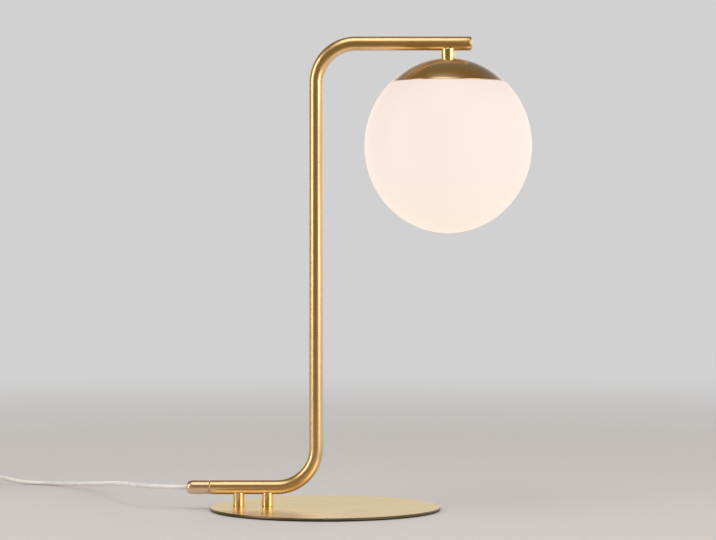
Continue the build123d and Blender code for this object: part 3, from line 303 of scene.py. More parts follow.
class Nodes:
    """A node tree, with short calls to add nodes and join them."""

    def __init__(self, tree):
        self.tree = tree

    def node(self, kind, **settings):
        made = self.tree.nodes.new(kind)
        for label, value in settings.items():
            setattr(made, label, value)
        return made

    def join(self, source, target):
        self.tree.links.new(source, target)

    def split(self, vector):
        """The three parts of a vector."""
        made = self.node("ShaderNodeSeparateXYZ")
        self.join(vector, made.inputs[0])
        return made.outputs

    def ranged(self, value, low_value, high_value, source=(0.3, 0.7), smooth=False):
        """A value spread from one range to another."""
        made = self.node("ShaderNodeMapRange", interpolation_type="SMOOTHSTEP" if smooth else "LINEAR")
        made.inputs["From Min"].default_value = source[0]
        made.inputs["From Max"].default_value = source[1]
        made.inputs["To Min"].default_value = low_value
        made.inputs["To Max"].default_value = high_value
        self.join(value, made.inputs["Value"])
        return made.outputs["Result"]

    def sum(self, first, second, factor=1.0):
        """One value times a number, plus another."""
        made = self.node("ShaderNodeMath", operation="MULTIPLY_ADD")
        self.join(first, made.inputs[0])
        made.inputs[1].default_value = factor
        self.join(second, made.inputs[2])
        return made.outputs[0]

    def product(self, first, second):
        made = self.node("ShaderNodeMath", operation="MULTIPLY")
        self.join(first, made.inputs[0])
        self.join(second, made.inputs[1])
        return made.outputs[0]

    def mixed(self, factor, first, second):
        """Two shaders, by a factor."""
        made = self.node("ShaderNodeMixShader")
        for source, target in zip((factor, first, second), made.inputs):
            self.join(source, target)
        return made.outputs[0]

    def blended(self, factor, plain, source):
        """A plain colour that gives way to another node's colour, by a factor."""
        made = self.node("ShaderNodeMix", data_type="RGBA")
        sockets = {socket.identifier: socket for socket in (*made.inputs, *made.outputs)}
        self.join(factor, sockets["Factor_Float"])
        sockets["A_Color"].default_value = (*plain, 1.0)
        self.join(source, sockets["B_Color"])
        return sockets["Result_Color"]

    def colours(self, value, *stops):
        """A colour from a value: stops are pairs of place and colour."""
        ramp = self.node("ShaderNodeValToRGB")
        elements = ramp.color_ramp.elements
        elements[0].position, elements[0].color = stops[0][0], (*stops[0][1], 1.0)
        elements[1].position, elements[1].color = stops[-1][0], (*stops[-1][1], 1.0)
        for place, colour in stops[1:-1]:
            elements.new(place).color = (*colour, 1.0)
        self.join(value, ramp.inputs["Fac"])
        return ramp.outputs["Color"]


def shade(colour, factor):
    """A colour made lighter or darker."""
    return tuple(min(1.0, channel * factor) for channel in colour)


class Finish(Nodes):
    """A material, whose uniform numbers and colours go on the shader's own sockets."""

    def __init__(self, name, **values):
        self.material = bpy.data.materials.new(name)
        self.material.use_nodes = True
        super().__init__(self.material.node_tree)
        self.shader = self.tree.nodes["Principled BSDF"]
        for label, value in values.items():
            socket = self.shader.inputs[label.replace("_", " ")]
            socket.default_value = (*value, 1.0) if isinstance(value, tuple) and len(value) == 3 else value

    def place(self, scale=(1.0, 1.0, 1.0), location=(0.0, 0.0, 0.0)):
        """Object coordinates, in metres, stretched to the pattern's scale."""
        source = self.node("ShaderNodeTexCoord")
        mapping = self.node("ShaderNodeMapping")
        mapping.inputs["Scale"].default_value = scale
        mapping.inputs["Location"].default_value = location
        self.join(source.outputs["Object"], mapping.inputs["Vector"])
        return mapping.outputs["Vector"]

    def noise(self, vector, scale, detail=3.0, roughness=0.5):
        made = self.node("ShaderNodeTexNoise")
        made.inputs["Scale"].default_value = scale
        made.inputs["Detail"].default_value = detail
        made.inputs["Roughness"].default_value = roughness
        self.join(vector, made.inputs["Vector"])
        return made.outputs["Fac"]

    def bump(self, height, strength, distance):
        made = self.node("ShaderNodeBump")
        made.inputs["Strength"].default_value = strength
        made.inputs["Distance"].default_value = distance
        self.join(height, made.inputs["Height"])
        self.join(made.outputs["Normal"], self.shader.inputs["Normal"])

    def vary(self, label, value):
        self.join(value, self.shader.inputs[label])

    def roughen(self, value, roughness, spread):
        """Roughness that a value moves up and down by a spread."""
        self.vary("Roughness", self.ranged(value, roughness - spread, roughness + spread))

    def shades(self, value, colour, darker, lighter, span=(0.35, 0.65)):
        """Shades of one colour, from darker to lighter as a value crosses a span."""
        return self.colours(value, (span[0], shade(colour, darker)), (span[1], shade(colour, lighter)))


def metal(name, colour, roughness, mottle=0.04, **more):
    """Bare or lacquered metal: the colour drifts slightly over centimetres, and a grain a third of a
    millimetre wide moves the roughness and the surface."""
    finish = Finish(name, Metallic=1.0, **more)
    broad = finish.noise(finish.place(), scale=28.0)
    finish.vary("Base Color", finish.shades(broad, colour, 1 - mottle, 1 + mottle))
    grain = finish.noise(finish.place(), scale=2600.0, detail=2.0)
    finish.roughen(grain, roughness, spread=0.015)
    finish.bump(grain, strength=0.02, distance=0.01 * MM)
    return finish.material


def brushed_plate(name, colour, roughness):
    """Plate brushed along X: hairlines a few tenths of a millimetre wide and centimetres long move the
    roughness and the surface, and broader streaks of the same run tint the colour. Below the top face
    the side is painted dark, a painted shade for the plate's shadowed edge."""
    finish = Finish(name, Metallic=1.0, Specular_Tint=(1.0, 0.93, 0.77))
    streaks = finish.noise(finish.place(scale=(0.05, 1.0, 1.0)), scale=170.0, detail=5.0, roughness=0.7)
    face = finish.shades(streaks, colour, 0.94, 1.05, span=(0.32, 0.68))
    top, painted_shade_depth, unshaded_depth = high("base_plate")[2], 0.3 * MM, 0.1 * MM
    height = finish.split(finish.place())["Z"]
    unshaded_share = finish.ranged(height, 0.0, 1.0, source=(top - painted_shade_depth, top - unshaded_depth))
    # Painted shade: the plate's side below the top face is darkened to a fifth of the colour.
    finish.vary("Base Color", finish.blended(unshaded_share, shade(colour, 0.2), face))
    hairlines = finish.noise(finish.place(scale=(0.02, 1.0, 1.0)), scale=2400.0, roughness=0.6)
    finish.roughen(hairlines, roughness, spread=0.08)
    finish.bump(hairlines, strength=0.25, distance=0.01 * MM)
    return finish.material


def spun_metal(name, colour, roughness):
    """Spun brass: faint rings round the cap's axis, from a noise of the distance to it and the height."""
    finish = Finish(name, Metallic=1.0, Coat_Weight=1.0, Coat_Roughness=0.25)
    centred = finish.place(location=(-HANGER_X, 0.0, 0.0))
    parts = finish.split(centred)
    flat = finish.node("ShaderNodeCombineXYZ")
    finish.join(parts["X"], flat.inputs["X"])
    finish.join(parts["Y"], flat.inputs["Y"])
    distance = finish.node("ShaderNodeVectorMath", operation="LENGTH")
    finish.join(flat.outputs[0], distance.inputs[0])
    ring = finish.node("ShaderNodeCombineXYZ")
    finish.join(distance.outputs["Value"], ring.inputs["X"])
    finish.join(parts["Z"], ring.inputs["Z"])
    rings = finish.noise(ring.outputs[0], scale=1500.0, detail=2.0)
    broad = finish.noise(centred, scale=24.0)
    finish.vary("Base Color", finish.shades(broad, colour, 0.95, 1.05))
    finish.roughen(rings, roughness, spread=0.04)
    finish.bump(rings, strength=0.12, distance=0.01 * MM)
    return finish.material


def moulded(name, colour, roughness, depth=0.15):
    """Moulded plastic, rubber or ceramic: even colour with a faint cloudiness and a fine skin."""
    finish = Finish(name)
    broad = finish.noise(finish.place(), scale=60.0)
    finish.vary("Base Color", finish.shades(broad, colour, 0.96, 1.03, span=(0.3, 0.7)))
    skin = finish.noise(finish.place(), scale=2200.0, detail=2.0)
    finish.roughen(skin, roughness, spread=0.05)
    finish.bump(skin, strength=depth, distance=0.02 * MM)
    return finish.material


def opal_glass():
    """Lit opal glass: an even pinkish white, with painted shade that darkens it towards the top under the cap
    and a painted glow of the bulb that makes it lighter and warmer low down.
    """
    finish = Finish("opal_glass", Roughness=0.42, IOR=1.5, Specular_IOR_Level=0.15, Emission_Strength=0.725)
    place = finish.place(location=tuple(-middle("glass_globe")))
    lowness = finish.ranged(finish.split(place)["Z"], 1.0, 0.0, source=(-78 * MM, 70 * MM))
    cloud = finish.noise(place, scale=14.0, detail=1.0)
    # Painted light: the emission colour darkens towards the top as painted shade under the cap, and lightens
    # and warms low down as a painted glow of the bulb.
    cloud_and_painted_glow = finish.sum(cloud, lowness, factor=0.06)
    finish.vary("Emission Color", finish.colours(
        cloud_and_painted_glow, (0.06, (0.87, 0.72, 0.66)), (0.5, (0.96, 0.82, 0.755)), (0.98, (1.10, 0.95, 0.80))))
    finish.vary("Base Color", finish.colours(cloud, (0.3, (0.26, 0.225, 0.205)), (0.7, (0.28, 0.24, 0.22))))
    return finish.material


def clear_glass():
    """Clear bulb glass with a faint unevenness."""
    finish = Finish("bulb_clear", Roughness=0.03, IOR=1.46, Transmission_Weight=1.0)
    ripple = finish.noise(finish.place(), scale=120.0)
    finish.vary("Base Color", finish.colours(ripple, (0.3, (0.94, 0.96, 0.95)), (0.7, (0.98, 0.98, 0.97))))
    finish.bump(ripple, strength=0.08, distance=0.4 * MM)
    return finish.material


def light_stick():
    """Yellow phosphor strip that is lit."""
    finish = Finish("light_stick", Roughness=0.5, Emission_Strength=2.0)
    dots = finish.noise(finish.place(), scale=500.0)
    finish.vary("Emission Color", finish.colours(dots, (0.3, (1.0, 0.72, 0.36)), (0.7, (1.0, 0.86, 0.58))))
    finish.vary("Base Color", finish.colours(dots, (0.3, (0.75, 0.55, 0.18)), (0.7, (0.88, 0.70, 0.28))))
    return finish.material


def lead_sheath():
    """Pale translucent sheath, a little cloudy, with a fine skin."""
    finish = Finish("pale_sheath", Roughness=0.30, IOR=1.5, Subsurface_Weight=0.35, Subsurface_Scale=2.0 * MM,
                    Coat_Weight=0.25, Coat_Roughness=0.2)
    cloud = finish.noise(finish.place(), scale=90.0)
    finish.vary("Base Color", finish.colours(cloud, (0.3, (0.70, 0.66, 0.61)), (0.7, (0.78, 0.75, 0.71))))
    skin = finish.noise(finish.place(), scale=900.0)
    finish.bump(skin, strength=0.2, distance=0.02 * MM)
    return finish.material


satin_brass = metal("satin_brass", (0.80, 0.56, 0.28), 0.32, Coat_Weight=0.6, Coat_Roughness=0.22)
polished_brass = metal("polished_brass", (0.86, 0.64, 0.32), 0.21)
plate_brass = brushed_plate("brushed_brass", (0.88, 0.70, 0.42), 0.315)
cap_brass = spun_metal("cap_brass", (0.78, 0.56, 0.37), 0.21)
bronze = metal("bronze_nose", (0.80, 0.57, 0.40), 0.32)
zinc = metal("zinc_steel", (0.62, 0.62, 0.60), 0.28, mottle=0.08)
spring = metal("spring_steel", (0.58, 0.59, 0.60), 0.18)
contact_metal = metal("contact_bronze", (0.72, 0.46, 0.26), 0.25)
pin_metal = metal("plug_metal", (0.74, 0.70, 0.62), 0.18)
pad_foam = moulded("black_pad", (0.022, 0.018, 0.014), 0.8)
nylon = moulded("nylon", (0.82, 0.80, 0.74), 0.45)
brown_core = moulded("brown_core", (0.22, 0.10, 0.05), 0.4)
blue_core = moulded("blue_core", (0.06, 0.17, 0.42), 0.4)
silicone = moulded("silicone", (0.80, 0.80, 0.78), 0.5)
ceramic = moulded("ceramic", (0.82, 0.79, 0.72), 0.55)
bulb_body = moulded("bulb_body", (0.86, 0.85, 0.82), 0.3)
white_plastic = moulded("white_plastic", (0.78, 0.77, 0.74), 0.28)
white_strap = moulded("white_strap", (0.74, 0.73, 0.70), 0.6, depth=0.4)
sheath = lead_sheath()
opal = opal_glass()

NODE_FINISHES = {
    "base_pad": pad_foam,
    "base_plate": plate_brass,
    "outer_post": polished_brass,
    "inner_post": polished_brass,
    "base_screws": zinc,
    "tapped_bar": zinc,
    "lamp_tube": satin_brass,
    "arm_end_plug": satin_brass,
    "cord_gland": bronze,
    "cord_grip": nylon,
    "live_core": brown_core,
    "neutral_core": blue_core,
    "hanger_stem": polished_brass,
    "threaded_tube": zinc,
    "dome_cap": cap_brass,
    "cap_spacer": zinc,
    "gallery": zinc,
    "globe_gasket": silicone,
    "clip_rivets": zinc,
    "holder_bracket": zinc,
    "lock_washer": zinc,
    "clamp_nut": zinc,
    "lampholder": ceramic,
    "live_contact": contact_metal,
    "neutral_contact": contact_metal,
    "holder_screws": zinc,
    "bulb_base": bulb_body,
    "bulb_pins": pin_metal,
    "bulb_glass": clear_glass(),
    "bulb_core": light_stick(),
    "glass_globe": opal,
    "globe_clip_1": spring,
    "globe_clip_2": spring,
    "globe_clip_3": spring,
    "cord_tie": white_strap,
    "switch_lower_shell": white_plastic,
    "switch_upper_shell": white_plastic,
    "switch_rocker": white_plastic,
    "switch_pivot": zinc,
    "switch_contacts": contact_metal,
    "switch_core": blue_core,
    "switch_screws": zinc,
    "plug_boot": white_plastic,
    "plug_body": white_plastic,
    "plug_pins": pin_metal,
}
for node, finish in NODE_FINISHES.items():
    for material_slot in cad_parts[node].material_slots:
        material_slot.material = finish


def fit(piece, material, body, slot, *nodes):
    """Gives a new piece its material and its body, and hides the nodes that it stands for. The slot is not
    used.
    """
    piece.data.materials.append(material)
    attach(piece, body)
    if nodes:
        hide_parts(*nodes)
    return piece


fit(lead, sheath, "stand", "pale_pvc", "supply_lead", "link_lead", "lead_coil", "plug_lead")


# ------------------------------------------------------------------ bent tube, its ends and its posts

UPRIGHT_X = -8.2 * MM
BEND_RADIUS = 35.5 * MM
TUBE_WALL = 1.0 * MM
TUBE_BORE = TUBE_RADIUS - TUBE_WALL
SPIGOT_GAP = 0.1 * MM
TUBE_LIP = 0.55 * MM
LINE_FROM_MOUTH = 4.4 * MM
LINE_DEPTH = 0.18 * MM
LINE_HALF_WIDTH = 0.27 * MM
RUN_STATIONS = 24
BEND_STATIONS = 49
FOOT_RUN = UPRIGHT_X - BEND_RADIUS - FOOT_END_X
BEND_RUN = BEND_RADIUS * math.pi / 2
UPRIGHT_RUN = ARM_AXIS_Z - FOOT_AXIS_Z - 2 * BEND_RADIUS
ARM_RUN = ARM_END_X - UPRIGHT_X - BEND_RADIUS


def tube_line(distance):
    """Place and slope of the tube's middle line at a distance from the foot's end. The line runs level,
    rises through a quarter circle, runs upright and falls through a quarter circle to level again."""
    rise = np.clip((distance - FOOT_RUN) / BEND_RADIUS, 0, math.pi / 2)
    fall = np.clip((distance - FOOT_RUN - BEND_RUN - UPRIGHT_RUN) / BEND_RADIUS, 0, math.pi / 2)
    level = np.minimum(distance, FOOT_RUN) + np.maximum(distance - FOOT_RUN - 2 * BEND_RUN - UPRIGHT_RUN, 0)
    upright = np.clip(distance - FOOT_RUN - BEND_RUN, 0, UPRIGHT_RUN)
    x = FOOT_END_X + level + BEND_RADIUS * (np.sin(rise) + 1 - np.cos(fall))
    z = FOOT_AXIS_Z + upright + BEND_RADIUS * (1 - np.cos(rise) + np.sin(fall))
    return x, z, rise - fall


def bent_tube():
    """The tube's wall: circles square to the middle line. They run along the outside, round one mouth's
    lip, back along the bore and round the other lip. A shallow line is turned round the outside a few
    millimetres before the arm's mouth."""
    joints = np.cumsum([0.0, FOOT_RUN, BEND_RUN, UPRIGHT_RUN, BEND_RUN, ARM_RUN])
    length = joints[-1]
    bends = [np.linspace(joints[first], joints[first + 1], BEND_STATIONS) for first in (1, 3)]
    stations = np.unique(np.concatenate([np.linspace(0.0, length, RUN_STATIONS), *bends]).round(6))
    line_middle = length - LINE_FROM_MOUTH
    line = line_middle + np.linspace(-LINE_HALF_WIDTH, LINE_HALF_WIDTH, 7)
    outside = np.unique(np.concatenate([np.clip(stations, TUBE_LIP, length - TUBE_LIP), line]))
    depth = np.clip(LINE_HALF_WIDTH - np.abs(outside - line_middle), 0, LINE_DEPTH)
    lip = (TUBE_LIP, TUBE_LIP)
    profile = np.concatenate([
        np.stack([outside, TUBE_RADIUS - depth], axis=1),
        ellipse_points((length - TUBE_LIP, TUBE_RADIUS - TUBE_LIP), lip, 90, 0, count=6)[1:],
        np.stack([stations[::-1], np.full_like(stations, TUBE_BORE)], axis=1),
        ellipse_points((TUBE_LIP, TUBE_RADIUS - TUBE_LIP), lip, 180, 90, count=6)[:-1],
    ])
    x, z, slope = (value[:, None] for value in tube_line(profile[:, 0]))
    turn = np.linspace(0, 2 * np.pi, SEGMENTS, endpoint=False)
    side, lift = profile[:, 1:] * np.cos(turn), profile[:, 1:] * np.sin(turn)
    points = np.stack([x - np.sin(slope) * lift, side, z + np.cos(slope) * lift], axis=-1)
    return grid_piece("bent_tube", points, closed_rows=True)


def arm_button():
    """Domed button in the arm's mouth: a spigot, a narrow chamfer at the mouth and a quarter ellipse,
    turned round the arm's axis."""
    edge, chamfer = TUBE_RADIUS - 0.05 * MM, 0.3 * MM
    spigot_end, spigot_radius = low("arm_end_plug")[0], TUBE_BORE - SPIGOT_GAP
    dome, start = high("arm_end_plug")[0], ARM_END_X + chamfer
    profile = np.concatenate([
        [(spigot_end, 0.0), (spigot_end, spigot_radius)],
        [(ARM_END_X, spigot_radius), (ARM_END_X, edge - chamfer)],
        ellipse_points((start, 0.0), (dome - start, edge), 90, 0, count=20),
    ])
    return grid_piece("arm_button", turned_along_x(profile, 0.0, ARM_AXIS_Z, segments=72))


def gland_nose():
    """Gland on the foot's end: spigot, chamfered seam, straight body, quarter-ellipse nose and bore,
    turned round the foot's axis."""
    radius, tip, bore, pocket = 6.2 * MM, 3.2 * MM, 2.2 * MM, 4.2 * MM
    chamfer, lip = 0.7 * MM, 0.4 * MM
    spigot_end = high("cord_gland")[0]
    spigot_radius, spigot_bore = TUBE_BORE - SPIGOT_GAP, 3.0 * MM
    nose_length, pocket_length = 5.2 * MM, 9.0 * MM
    nose = GLAND_TIP_X + nose_length
    pocket_end = nose + pocket_length
    profile = np.concatenate([
        [(spigot_end, spigot_bore), (spigot_end, spigot_radius), (FOOT_END_X, spigot_radius)],
        [(FOOT_END_X, radius - chamfer), (FOOT_END_X - chamfer, radius)],
        ellipse_points((nose, tip), (GLAND_TIP_X - nose, radius - tip), 90, 0, count=16),
        ellipse_points((GLAND_TIP_X + lip, bore + lip), (lip, lip), 180, 270, count=5),
        [(nose, bore), (nose, pocket), (pocket_end, pocket), (pocket_end, spigot_bore)],
    ])
    return grid_piece("gland_nose", turned_along_x(profile, 0.0, FOOT_AXIS_Z, segments=72), closed_rows=True)


def coped_column(name, node, axis_z, wrap, top_round, foot_chamfer):
    """Round column under the tube: chamfered foot, straight side, rounded top edge. No point is higher
    than the tube's underside above it, which is the tube's axis less the root of its radius squared less
    the distance across squared."""
    radius = (high(node)[1] - low(node)[1]) / 2
    bottom, top = low(node)[2], axis_z - TUBE_RADIUS + wrap
    side_top, flat = top - top_round, radius - top_round
    profile = np.concatenate([
        [(0.0, bottom), (radius - foot_chamfer, bottom)],
        [(radius, height) for height in np.linspace(bottom + foot_chamfer, side_top, 12)],
        ellipse_points((flat, side_top), (top_round, top_round), 0, 90, count=8)[1:],
        [(distance, top) for distance in np.linspace(flat, 0.0, 20)[1:]],
    ])
    points = turned(profile, middle(node)[0])
    across = np.minimum(np.abs(points[..., 1]), TUBE_RADIUS)
    points[..., 2] = np.minimum(points[..., 2], axis_z - np.sqrt(TUBE_RADIUS**2 - across**2))
    return grid_piece(name, points)


fit(bent_tube(), satin_brass, "stand", "satin_brass", "lamp_tube")
fit(arm_button(), satin_brass, "stand", "satin_brass", "arm_end_plug")
fit(gland_nose(), bronze, "stand", "bronze_nose", "cord_gland")
for name, node in (("outer_spacer", "outer_post"), ("inner_spacer", "inner_post")):
    column = coped_column(name, node, FOOT_AXIS_Z, wrap=2.0 * MM, top_round=1.0 * MM, foot_chamfer=0.4 * MM)
    fit(column, polished_brass, "stand", "polished_brass", node)
stem = coped_column("hanging_stem", "hanger_stem", ARM_AXIS_Z,
                    wrap=2.5 * MM, top_round=1.4 * MM, foot_chamfer=0.2 * MM)
fit(stem, polished_brass, "stand", "polished_brass", "hanger_stem")


# ------------------------------------------------------------------ spun cap and glass globe

CAP_SPHERE = 70.4 * MM
CAP_FLAT = 6.8 * MM
CAP_WALL = 0.8 * MM
CAP_HOLE = 4.2 * MM
CAP_RIM_LIFT_DEGREES = 0.5
GLOBE_HALF_HEIGHT = 78.3 * MM
GLASS_WALL = 3.0 * MM
NECK_RADIUS = 38.0 * MM
RIM_GAP = 0.3 * MM
SHOULDER_STEP = 0.6 * MM
SHOULDER_FLAT = 1.8 * MM
SHOULDER_DEGREES = 1.0
CONE_RISE = 2.6 * MM
NECK_CURVE = 2.0 * MM
NECK_CURVE_DROP = 0.4 * MM
NECK_LIP = 1.0 * MM


def soft_corner(before, corner, after):
    """A curve from one point to another that leans on a corner: the corner weighs most halfway."""
    share = np.linspace(0, 1, 7)[:, None]
    before, corner, after = (np.array(point) for point in (before, corner, after))
    return (1 - share) ** 2 * before + 2 * share * (1 - share) * corner + share**2 * after


def spun_cap():
    """Spun cap: an arc of a sphere turned round the hanger, a half-round rim as thick as the wall, and
    the same arc one wall further in."""
    centre_z = CAP_TOP - math.sqrt(CAP_SPHERE**2 - CAP_FLAT**2)
    inner_sphere = CAP_SPHERE - CAP_WALL
    inner_top = CAP_TOP - CAP_WALL
    start = math.degrees(math.acos(CAP_FLAT / CAP_SPHERE))
    rim = math.degrees(math.acos(CAP_RIM_RADIUS / CAP_SPHERE)) + CAP_RIM_LIFT_DEGREES
    inner_start = math.degrees(math.asin((inner_top - centre_z) / inner_sphere))
    rim_turn = math.radians(rim)
    rim_way = np.array([math.cos(rim_turn), math.sin(rim_turn)])
    rim_centre = (CAP_SPHERE - CAP_WALL / 2) * rim_way + (0.0, centre_z)
    profile = np.concatenate([
        [(CAP_HOLE, CAP_TOP)],
        ellipse_points((0.0, centre_z), (CAP_SPHERE, CAP_SPHERE), start, rim, count=64),
        ellipse_points(rim_centre, (CAP_WALL / 2, CAP_WALL / 2), rim, rim - 180, count=9)[1:-1],
        ellipse_points((0.0, centre_z), (inner_sphere, inner_sphere), rim, inner_start, count=48),
        [(CAP_HOLE, inner_top)],
    ])
    return grid_piece("spun_cap", turned(profile, HANGER_X, segments=160), closed_rows=True)


def blown_globe():
    """Blown globe: half an ellipse turned round the hanger up to a soft shoulder, a cone to a short neck
    with a fire-rounded lip, and the same line one wall further in."""
    half_width = (high("glass_globe")[0] - low("glass_globe")[0]) / 2
    centre_z = low("glass_globe")[2] + GLOBE_HALF_HEIGHT
    shoulder_z = CAP_RIM_Z - RIM_GAP
    shoulder_radius = CAP_RIM_RADIUS + SHOULDER_STEP
    neck_foot = shoulder_z + CONE_RISE
    inner = (half_width - GLASS_WALL, GLOBE_HALF_HEIGHT - GLASS_WALL)
    turn = math.degrees(math.asin((shoulder_z - centre_z) / GLOBE_HALF_HEIGHT)) - SHOULDER_DEGREES
    inner_turn = math.degrees(math.asin((shoulder_z - GLASS_WALL - centre_z) / inner[1]))
    outside = ellipse_points((0.0, centre_z), (half_width, GLOBE_HALF_HEIGHT), -90, turn, count=72)
    corner, flat = (shoulder_radius, shoulder_z), (shoulder_radius - SHOULDER_FLAT, shoulder_z)
    cone_end = (NECK_RADIUS + NECK_CURVE, neck_foot - NECK_CURVE_DROP)
    neck_start = (NECK_RADIUS, neck_foot + NECK_CURVE)
    lip = (NECK_RADIUS - GLASS_WALL / 2, high("glass_globe")[2] - NECK_LIP)
    profile = np.concatenate([
        outside[:-1],
        soft_corner(outside[-1], corner, flat),
        soft_corner(cone_end, (NECK_RADIUS, neck_foot), neck_start),
        ellipse_points(lip, (GLASS_WALL / 2, NECK_LIP), 0, 180, count=11),
        [(NECK_RADIUS - GLASS_WALL, neck_foot - GLASS_WALL)],
        ellipse_points((0.0, centre_z), inner, inner_turn, -90, count=60),
    ])
    profile[[0, -1], 0] = 0.0
    return grid_piece("blown_globe", turned(profile, HANGER_X, segments=192))


fit(spun_cap(), cap_brass, "stand", "satin_brass", "dome_cap")
fit(blown_globe(), opal, "globe", "opal_glass", "glass_globe")


# ------------------------------------------------------------------ rocker, plug and strap on the lead

ROCKER_REST_TILT = math.radians(8.0)
ROCKER_HALF = 8.0 * MM
PLUG_FACE_X = high("plug_body")[0]
PLUG_Y, PLUG_Z = middle("plug_body")[1:]
PIN_HALF_SPACING = 9.5 * MM
SLEEVE_LENGTH = 10.0 * MM


def rocker_key():
    """Rocker carried across its width: a line with a shallow valley and finger ridges on both slopes,
    shrunk a little at both ends so that the edges are round, and tilted to its ON side."""
    valley, slope_rise, ridge_height, ridge_pitch = 3.0 * MM, 1.1 * MM, 0.16 * MM, 1.1 * MM
    ridged_from, ridged_to, valley_power = 0.35, 0.9, 1.6
    edge_round, edge_shrink = 0.6 * MM, 0.14
    pivot = middle("switch_pivot")
    place = np.linspace(-1, 1, 121)
    outward = np.abs(place)
    ridged = (outward > ridged_from) & (outward < ridged_to)
    ridges = ridge_height * ridged * np.sin(np.pi * place * ROCKER_HALF / ridge_pitch) ** 2
    crown = valley + slope_rise * outward**valley_power + ridges
    top = np.stack([place[::-1] * ROCKER_HALF, crown[::-1]], axis=1)
    half_belly = np.array([(1.4, -2.0), (2.0, -1.9), (7.6, 0.5), (8.0, 0.7)]) * MM
    line = np.concatenate([top[1:-1], half_belly[::-1] * (-1, 1), half_belly])
    heart = np.array([0.0, 1.2 * MM])
    half_width = (high("switch_rocker")[1] - low("switch_rocker")[1]) / 2
    edge = np.radians(np.linspace(0, 90, 6))
    rows_y = half_width - edge_round * (1 - np.sin(edge))
    shrink = 1 - edge_shrink * (1 - np.cos(np.pi / 2 - edge[::-1]))
    rows_y = np.concatenate([[-half_width], -rows_y[::-1], rows_y, [half_width]])
    shrink = np.concatenate([[0.0], shrink, shrink[::-1], [0.0]])
    flat = heart + (line - heart) * shrink[:, None, None]
    cosine, sine = math.cos(ROCKER_REST_TILT), math.sin(ROCKER_REST_TILT)
    x = pivot[0] + flat[..., 0] * cosine + flat[..., 1] * sine
    z = pivot[2] - flat[..., 0] * sine + flat[..., 1] * cosine
    y = pivot[1] + rows_y[:, None] + 0 * x
    return grid_piece("rocker_key", np.stack([x, y, z], axis=-1), sharp_degrees=50.0)


def plug_shell():
    """Flat plug body carried along X: squared ovals that widen from the lead's end, with four finger
    grooves across both sides, and rounded at both ends."""
    start, length = low("plug_body")[0], high("plug_body")[0] - low("plug_body")[0]
    half_width = (high("plug_body")[1] - low("plug_body")[1]) / 2
    half_height = (high("plug_body")[2] - low("plug_body")[2]) / 2
    narrow, thinner, groove_depth, end_round = 9.0 * MM, 0.9 * MM, 0.7 * MM, 1.6 * MM
    end_share, widest_share, groove_start, groove_reach, groove_count = 0.06, 0.5, 0.14, 0.36, 4
    ends = [np.linspace(0, end_share, 8), np.linspace(1 - end_share, 1, 8)]
    share = np.concatenate([ends[0], np.linspace(end_share, 1 - end_share, 90)[1:-1], ends[1]])
    inward = np.clip(np.minimum(share, 1 - share) / end_share, 0, 1)
    cut_back = end_round * (1 - np.sqrt(1 - (1 - inward) ** 2))
    widening = np.clip(share / widest_share, 0, 1)
    widening = widening**2 * (3 - 2 * widening)
    wave = np.sin(np.clip((share - groove_start) / groove_reach, 0, 1) * groove_count * np.pi)
    grooves = groove_depth * wave**2
    width = narrow + (half_width - narrow) * widening - grooves - cut_back
    height = half_height - thinner * (1 - widening) - cut_back
    y, z = squared_ring(1.0, 1.0, power=5.0, segments=112)
    x, width, height = (value[:, None] for value in (start + share * length, width, height))
    points = np.stack([x + 0 * y, PLUG_Y + width * y, PLUG_Z + height * z], axis=-1)
    first = np.broadcast_to([start, PLUG_Y, PLUG_Z], points[:1].shape)
    last = np.broadcast_to([start + length, PLUG_Y, PLUG_Z], points[:1].shape)
    return grid_piece("plug_shell", np.concatenate([first, points, last]))


def ribbed_boot():
    """Strain relief turned round the lead: a straight taper less five grooves, each a sine to the fourth
    power, and a bore."""
    thin, thick, groove_depth, bore_gap = 2.8 * MM, 4.5 * MM, 0.7 * MM, 0.02 * MM
    groove_start, groove_reach, groove_count = 0.06, 0.84, 5
    start, end = low("plug_boot")[0], high("plug_boot")[0]
    share = np.linspace(0, 1, 101)
    wave = np.sin(np.clip((share - groove_start) / groove_reach, 0, 1) * groove_count * np.pi)
    radius = thin + (thick - thin) * share - groove_depth * wave**4
    outside = np.stack([start + share * (end - start), radius], axis=1)
    bore = LEAD_DIAMETER / 2 + bore_gap
    profile = np.concatenate([outside, [(end, bore), (start, bore)]])
    return grid_piece("ribbed_boot", turned_along_x(profile, PLUG_Y, PLUG_Z, segments=64), closed_rows=True)


def pin_grids(profile):
    """The same turned pin at both of the plug's pin places."""
    return [turned_along_x(profile, PLUG_Y + side * PIN_HALF_SPACING, PLUG_Z, segments=40) for side in (-1, 1)]


def pin_tips():
    """Metal of the two pins: a thin root under the sleeve, a full tip and a rounded end."""
    root, tip, nose, chamfer, seam = 1.6 * MM, 2.0 * MM, 1.4 * MM, 0.2 * MM, 0.2 * MM
    start = PLUG_FACE_X - 4.0 * MM
    shoulder, end = PLUG_FACE_X + SLEEVE_LENGTH + seam, high("plug_pins")[0]
    profile = np.concatenate([
        [(start, 0.0), (start, root), (shoulder, root), (shoulder, tip - chamfer), (shoulder + chamfer, tip)],
        ellipse_points((end - nose, 0.0), (nose, tip), 90, 0, count=10),
    ])
    return grid_piece("pin_tips", *pin_grids(profile))


def pin_sleeves():
    """Insulating sleeves round the roots of the pins, with rounded ends."""
    radius, bore, lip = 1.95 * MM, 1.62 * MM, 0.15 * MM
    start, end = PLUG_FACE_X - 2.0 * MM, PLUG_FACE_X + SLEEVE_LENGTH
    profile = np.concatenate([
        [(start, bore), (start, radius)],
        ellipse_points((end - lip, radius - lip), (lip, lip), 90, 0, count=5),
        [(end, bore)],
    ])
    return grid_piece("pin_sleeves", *pin_grids(profile), closed_rows=True)


